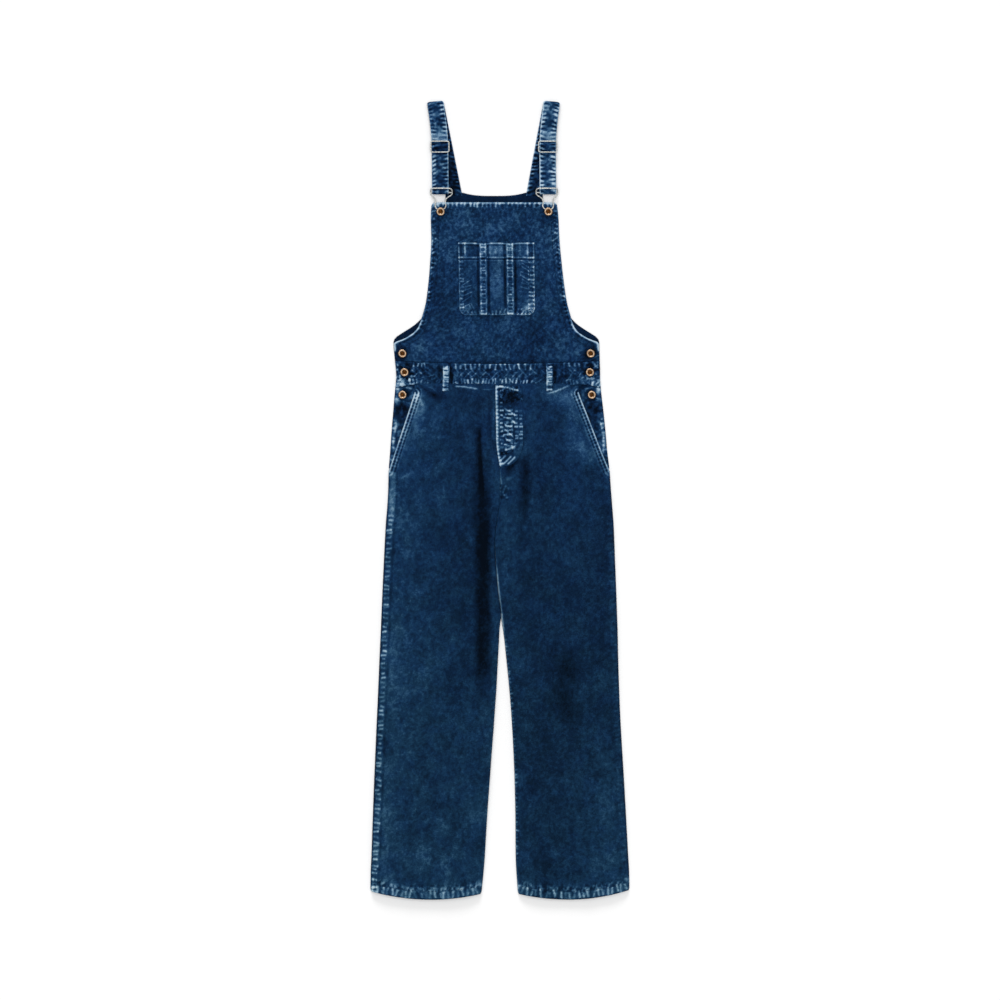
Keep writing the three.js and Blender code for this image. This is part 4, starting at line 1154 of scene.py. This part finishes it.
def belt_loop(side):
    middle, low, high = (LOOPS[key] for key in (SIDES[side], "low", "high"))
    up, offset, from_edge = upright(low, high, LOOPS["half"], (0, 0.4, 0.9), (0, 0.3, 0.8), 0.9)
    x = middle + offset + (0 if side > 0 else LOOPS["right_lean"]) * (up - 914)
    foot, _ = leg_height(x, np.minimum(up, 896), side)
    arch = 1.6 * np.clip(1 - ((up - 916) / 22) ** 2, 0, 1)
    base = mix(foot + 0.6, band_height(x, up) + 0.9, smooth((up - 895) / 6)) + arch
    line = Line([(middle, low - 4), (middle, high + 3)])
    parts = [
        strokes(line, -4, 3.2, 4.4, 0.3, 1.0, 180 + side, thick=0.26, slant=0.15),
        # The stripe darker along the loop's right edge and the dark bar at 900.5, where it steps off the
        # waistband, are painted shade.
        *stripes((line, 4.2, 1.3, 0.1, 0.6), (line, -5.2, 1, 0, -0.5)),
        *patches((middle, high - 1, 9, 2.2, -0.9), (middle, 900.5, 9, 1.5, -1.5),
                 (middle, low + 3.6, 9, 1.0, -0.5), (middle + 1, low + 2, 6, 2.4, 0.3)),
        crease([(middle - 3, 930), (middle + 5, high)], -0.3, 1.5, 1.5, 0.8, 3),
        mottle(0.4, 188 + side, 4, 3, 0.2),
    ]
    height, wear = relief(parts, x, up)
    top = base + 1.4 + height - rolled(from_edge, 0.8)
    cloth(f"belt_loop_{SIDES[side]}", "denim_faded", x, up, top, base, wear + 0.7,
          "waistband_front", DENIM, 4, 1)


# ---- Straps ----
STRAP_BEHIND = 155  # the stretch from the back bib that lies behind the front one, painted darker as shade
STRAP_RIDGE = dict(up=1340.6, half=6.8)  # a raised place above the slide
# hidden is how much painted shade darkens the stretch behind the front strap.
STRAP_WEAR_AND_SHADE = {1: dict(ridges=1.2, edge=1.0, whole=0.55, hidden=0.5),
              -1: dict(ridges=1.0, edge=0.55, whole=0.34, hidden=0.7)}


def half_turn(centre, outwards, half, low, high, steps=14):
    """Stations round a half turn from the lower layer to the upper one."""
    radius = (high - low) / 2
    stations = []
    for angle in np.linspace(0, math.pi, steps):
        middle = centre + outwards * radius * math.sin(angle)
        middle[2] = (low + high) / 2 - radius * math.cos(angle)
        stations.append((middle, half))
    return stations


def strap_stations():
    """Middle and half-width of the strap from the back bib to its sewn end."""
    half, tilt, low = STRAP["half"], STRAP["tilt"], STRAP["thick"] / 2
    square, slant = np.array([-half, 0, 0]), np.array([-half, half * tilt, 0])
    outwards = np.array([tilt, 1, 0]) / math.hypot(tilt, 1)
    root = np.array([STRAP["root_x"], NECK - 6, low])
    fold = np.array([STRAP["fold_x"], STRAP["fold_up"], low])
    stations = [(mix(root, fold, t), mix(square, slant, t)) for t in np.linspace(0, 0.95, 8)]
    stations += half_turn(fold, outwards, slant, low, STRAP_FALL["z"][0])
    for middle in np.stack([STRAP_FALL[key] for key in ("x", "up", "z")], 1):
        stations.append((middle, mix(square, slant, np.clip((middle[1] - 1370) / 30, 0, 1))))
    bar = np.array([STRAP["hang_x"], BUCKLE_BAR["up"], 0])
    off, z = BUCKLE_BAR["wire"] + GAP + STRAP["thick"] / 2, BUCKLE_BAR["z"]
    stations += half_turn(bar, np.array([0, -1, 0]), square, z - off, z + off)[::-1]
    for middle in np.stack([STRAP_RETURN[key] for key in ("x", "up", "z")], 1):
        stations.append((middle, square))
    return stations


def chords(points):
    """How far along its straight steps each point lies."""
    return np.concatenate([[0], np.cumsum(np.linalg.norm(np.diff(points, axis=0), axis=1))])


def fine_path(points, step):
    """Points evenly spaced along a smooth curve through the given ones."""
    points = np.array(points, float)
    chord = chords(points)
    keep = np.concatenate([[True], np.diff(chord) > 1e-6])
    points, chord = points[keep], chord[keep]
    places = np.linspace(0, chord[-1], int(chord[-1] / step) + 1)
    columns = [through({"up": chord, "column": column}, "column")(places) for column in points.T]
    return np.stack(columns, 1), places


def skin(rings, around, closed=False):
    """Faces over rings of vertices, which close on themselves or end flat."""
    index = np.arange(rings * around).reshape(rings, around)
    before, after = (index, np.roll(index, -1, 0)) if closed else (index[:-1], index[1:])
    faces = quads(before, after, np.roll(after, -1, 1), np.roll(before, -1, 1))
    return faces if closed else [*faces, index[0].tolist(), index[-1][::-1].tolist()]


def mirrored(faces, side):
    """The faces turned round if their piece is mirrored to the wearer's right."""
    return faces if side > 0 else [face[::-1] for face in faces]


def strap_relief(side, along, across, up, z):
    """Puckers along both edges of a strap, and its marks where it goes through the slide."""
    worn_and_shaded, seed = STRAP_WEAR_AND_SHADE[side], 200 + 20 * side
    height, wear = 0 * along, 0 * along
    for edge in (-1, 1):
        shift, strength, slant, reach = (wander(seed + edge + 3 * k, step)
                                         for k, step in enumerate((21, 11, 26, 8)))
        place = along + (5 * slant(along) + 2 * edge) * (edge * across - 0.6)
        ridge = np.sin(2 * math.pi * place / 7.4 + 2.6 * shift(along))
        much = bump((edge * across - 0.72) / (0.42 * (1 + 0.4 * reach(along))))
        much = (0.65 + 0.35 * strength(along)) * much
        height = height + 0.4 * much * ridge
        wear = wear + worn_and_shaded["ridges"] * much * np.tanh(3.2 * ridge)
    coarse, fine = clouds(seed + 12, 0.34, 5.0), clouds(seed + 13, 0.2, 2.8)
    wear = wear + 0.5 * np.tanh(2 * coarse(across, along)) + 0.35 * fine(across, along)
    wear = wear - 0.22 * bump(across / 0.3)
    rim = bump((np.abs(across) - 0.97) / 0.07)
    height = height * (1 - rim) - 0.2 * bump((np.abs(across) - 0.8) / 0.05)
    wear = wear * (1 - 0.6 * rim) + 0.5 * rim + worn_and_shaded["edge"] * bump((across - 0.94) / 0.07) + worn_and_shaded["whole"]
    raised = smooth((STRAP_RIDGE["half"] - np.abs(up - STRAP_RIDGE["up"])) / 2 + 0.5) * (z > 3)
    held = bump((up - SLIDER["up"]) / 9) * (z > 4.5)
    height = height * (1 - 0.6 * raised) + 0.5 * raised
    return height, wear * (1 - 0.5 * raised) + 0.75 * raised - 0.65 * held


def strap(side):
    """One strap: its own pattern of puckers runs along it, the same cloth on both faces."""
    name = f"strap_{SIDES[side]}"
    path, along = fine_path([np.concatenate(station) for station in strap_stations()], 1.5)
    middle, half = path[:, None, :3], path[:, None, 3:]
    lift = np.cross(half, np.gradient(middle, along, axis=0))
    lift /= np.linalg.norm(lift, axis=-1, keepdims=True)
    across = np.array([-1, -0.985, -0.95, *np.linspace(-0.88, 0.88, 15), 0.95, 0.985, 1])
    s, v = grid(along, across)
    height, wear = strap_relief(side, s, v, middle[..., 1], middle[..., 2])
    face = STRAP["thick"] / 2 - 0.5 * bump((1 - np.abs(v)) / 0.05)
    flat = middle + v[..., None] * half
    top = flat + (face + height)[..., None] * lift
    low = flat - (face + 0.6 * height)[..., None] * lift
    x, up, z = np.moveaxis(np.concatenate([top, low[:, ::-1]], 1), 2, 0)
    fold = along[np.argmax(middle[:, 0, 1])]
    reach = np.abs(np.concatenate([across, across[::-1]]))
    up = up - 1.8 * bump((1 - reach) / 0.14) * bump((along[:, None] - fold) / 9)
    faces = mirrored(skin(*x.shape), side)
    made = new_object(name, laid(side * x, up, np.maximum(z, 0)), faces, [DENIM], 2)
    worn_and_shaded = np.concatenate([wear, wear[:, ::-1] - 0.35], 1)
    # Painted shade darkens the stretch behind the front strap.
    behind = np.where(s[:, :1] < STRAP_BEHIND, STRAP_WEAR_AND_SHADE[side]["hidden"], 0.0)
    set_wear_and_shade(made, (worn_and_shaded - behind).ravel())
    part_of_garment(made, name)


# ---- Hardware ----
def tube(points, radius, closed, step=0.8, sides=14):
    """Vertices and faces of round wire."""
    if closed:
        points = np.concatenate([points[-2:], points, points[:3]])
    path, along = fine_path(points, step)
    if closed:
        lengths = chords(points)
        path = path[(along >= lengths[2]) & (along < lengths[-3] - step / 2)]
        forward = np.roll(path, -1, 0) - np.roll(path, 1, 0)
    else:
        forward = np.gradient(path, axis=0)
    forward /= np.linalg.norm(forward, axis=1)[:, None]
    sideways = np.cross(forward, [0, 0, 1.0])
    sideways /= np.linalg.norm(sideways, axis=1)[:, None]
    upwards = np.cross(sideways, forward)
    angles = np.linspace(0, 2 * math.pi, sides, endpoint=False)[:, None]
    spoke = np.cos(angles) * sideways[:, None] + np.sin(angles) * upwards[:, None]
    vertices = path[:, None] + radius * spoke
    return vertices.reshape(-1, 3), skin(len(path), sides, closed)


def wire_piece(kind, side, loop, bar, wire):
    """A closed loop of wire with a straight bar across it."""
    name = f"{kind}_{SIDES[side]}"
    vertices, faces = tube(np.array(loop), wire, True)
    bar_vertices, bar_faces = tube(np.array(bar), wire, False)
    faces += [[len(vertices) + corner for corner in face] for face in bar_faces]
    x, up, z = np.concatenate([vertices, bar_vertices]).T
    made = new_object(name, laid(side * x, up, z), mirrored(faces, side), [NICKEL])
    part_of_garment(made, name)


def slider(side):
    middle, up, z, width, height, corner = (SLIDER[key] for key in (
        "x", "up", "z", "half_width", "half_height", "corner"))
    loop = []
    for right, above in ((1, 1), (-1, 1), (-1, -1), (1, -1)):
        for t in np.linspace(0, 1, 6):
            angle = math.pi / 2 * (t if right * above > 0 else 1 - t)
            loop.append((middle + right * (width - corner * (1 - math.cos(angle))),
                         up + above * (height - corner * (1 - math.sin(angle))), z))
    bar = [(middle + reach, up, z) for reach in (-width, 0, width)]
    wire_piece("slider", side, loop, bar, SLIDER["wire"])


def buckle(side):
    middle, bar = STRAP["hang_x"], BUCKLE_BAR
    outer = np.stack([middle + BUCKLE["outer"], BUCKLE["up"], BUCKLE["z"]], 1)
    inner = np.stack([middle - BUCKLE["inner"], BUCKLE["up"], BUCKLE["z"]], 1)[::-1]
    loop = np.concatenate([outer, [BUCKLE_FOOT], inner, [BUCKLE_TOP]])
    points = [(middle + reach, bar["up"], bar["z"]) for reach in (-bar["inner"], 0, bar["outer"])]
    wire_piece("buckle", side, loop, points, bar["wire"])


def button(name, x, up, surface, post, segments=40):
    """A tack button: a rolled ring round a dark open middle, on its post."""
    head = surface + post
    radii = np.array([BUTTON_POST, BUTTON_POST, *BUTTON["radius"]])[:, None]
    heights = np.array([surface - 0.5, head, *(head + BUTTON["above_head"])])[:, None]
    angles = np.linspace(0, 2 * math.pi, segments, endpoint=False)
    rings = np.stack([radii * np.cos(angles), radii * np.sin(angles), heights + 0 * angles], -1)
    points = np.concatenate([[(0, 0, surface - 0.5)], rings.reshape(-1, 3), [(0, 0, head + BUTTON_CENTRE)]])
    last = len(radii) - 1
    faces = []
    for i in range(segments):
        a, b = 1 + i, 1 + (i + 1) % segments
        faces.append([0, b, a])
        for below in range(0, last * segments, segments):
            above = below + segments
            faces.append([below + a, below + b, above + b, above + a])
        faces.append([last * segments + a, last * segments + b, len(points) - 1])
    made = new_object(name, laid(x + points[:, 0], up + points[:, 1], points[:, 2]), faces,
                      [COPPER, SOCKET])
    dark = [int(k > SOCKET_RING) for k in range(last + 2)]
    made.data.polygons.foreach_set("material_index", dark * segments)
    part_of_garment(made, name)


# ---- Stitches ----
def stitches(name, rows, sides=6):
    """Rows of separate stitches: each row is a line and the surface that it is sewn on."""
    pitch, thick = STITCH["length"] + STITCH["gap"], 0.8 * STITCH["width"]
    angles = np.arange(sides) * 2 * math.pi / sides
    along = STITCH["length"] / 2 * np.repeat([-1, -0.8, 0.8, 1], [1, sides, sides, 1])
    aside = thick * np.concatenate([[0], *[np.cos(angles)] * 2, [0]])
    lift = np.concatenate([[0], *[0.25 + 0.7 * thick * np.sin(angles)] * 2, [0]])
    points = []
    for line, surface in rows:
        places = (np.arange(int(line.length / pitch)) + 0.5) * pitch
        middle, ahead = line.at(places), line.at(np.minimum(places + 0.5, line.length - 1e-6))
        forward = (ahead - middle) / np.linalg.norm(ahead - middle, axis=1)[:, None]
        (x, up), (fx, fu) = middle.T[..., None], forward.T[..., None]
        z = surface(*middle.T)[0][:, None] + lift
        points.append(np.stack([x + fx * along - fu * aside, up + fu * along + fx * aside, z], -1))
    points = np.concatenate(points)
    faces = []
    for start in range(0, points.shape[0] * points.shape[1], points.shape[1]):
        near, far, tip = start + 1, start + 1 + sides, start + 1 + 2 * sides
        for a, b in zip(range(sides), (*range(1, sides), 0)):
            faces += [(start, near + a, near + b), (near + a, far + a, far + b, near + b),
                      (far + a, tip, far + b)]
    made = new_object(name, laid(*np.moveaxis(points, 2, 0)), faces, [THREAD])
    part_of_garment(made)


# ---- Stage ----
def stage():
    """A pale floor, soft studio light and the camera straight above."""
    corners = np.array([(-8, -8, 0), (8, -8, 0), (8, 8, 0), (-8, 8, 0)], float)
    floor = new_object("floor", corners, [(0, 1, 2, 3)], [FLOOR])
    floor.location.z = -0.0002
    scene = bpy.context.scene
    scene.world = bpy.data.worlds.new("studio")
    scene.world.use_nodes = True
    background = scene.world.node_tree.nodes["Background"].inputs
    background["Color"].default_value = (1, 1, 1, 1)
    background["Strength"].default_value = 0.48
    for name, place, energy, softness in (("key", (-0.1, 1.0, 0.39), 1.6, 22),
                                          ("top", (0.05, 0.1, 1.6), 1.4, 60)):
        light = bpy.data.lights.new(name, "SUN")
        light.energy = energy
        light.angle = math.radians(softness)
        lamp = bpy.data.objects.new(name, light)
        scene.collection.objects.link(lamp)
        lamp.rotation_mode = "QUATERNION"
        lamp.rotation_quaternion = Vector(place).to_track_quat("Z", "Y")
    lens, sensor, seen = 100, 36, 1.757  # the picture shows that many metres, just above the floor
    data = bpy.data.cameras.new("camera")
    data.lens = lens
    data.sensor_width = sensor
    scene.camera = bpy.data.objects.new("camera", data)
    scene.collection.objects.link(scene.camera)
    scene.camera.location = (0, 0, seen * lens / sensor + 0.008)
    scene.view_settings.view_transform = "Standard"


def facing_height(x, up):
    return LAYER + CLOTH


stage()
for side in SIDES:
    leg_back(side)
    leg_front(side)
    pocket_facing(side)
    strap(side)
    slider(side)
    buckle(side)
    pocket_strip(side)
flat_band("waistband_back", WAIST_SEAM, WAIST_TOP - GAP, outline, inset=BACK_INSET)
flat_band("bib_back", WAIST_TOP, NECK, back_bib, dip=NECK_DIP)
waistband_front()
bib_front()
bib_pocket()
fly()
for side in SIDES:
    belt_loop(side)
for side, label in SIDES.items():
    x = side * STRAP["hang_x"]
    surface = float(bib_height(x, BIB_BUTTON_UP))
    button(f"bib_button_{label}", x, BIB_BUTTON_UP, surface, BIB_BUTTON_POST)
for row, surface in enumerate((bib_height, band_height, facing_height)):
    up = SIDE_BUTTONS["up"][row]
    for label in SIDES.values():
        x = SIDE_BUTTONS[label][row]
        button(f"side_button_{row + 1}_{label}", x, up, float(surface(x, up)), SIDE_BUTTON_POST)

rows = []
for side in SIDES:
    surface = partial(leg_top, side=side)
    rows.append((hem_line(side).beside(HEM["depth"]), surface))
    rows += [(pocket_line(side).beside(away), surface) for away in STITCHED["pocket_mouth"]]
stitches("stitches_legs", rows)
rows = [(BIB_TOP_LINE.beside(STITCHED["bib_top"]), bib_surface)]
rows += [(line.beside(STITCHED["bib_side"]), bib_surface) for line in BIB_SIDES.values()]
rows += [(POCKET_LINE.beside(away), pocket_surface) for away in STITCHED["bib_pocket"]]
stitches("stitches_bib", rows)
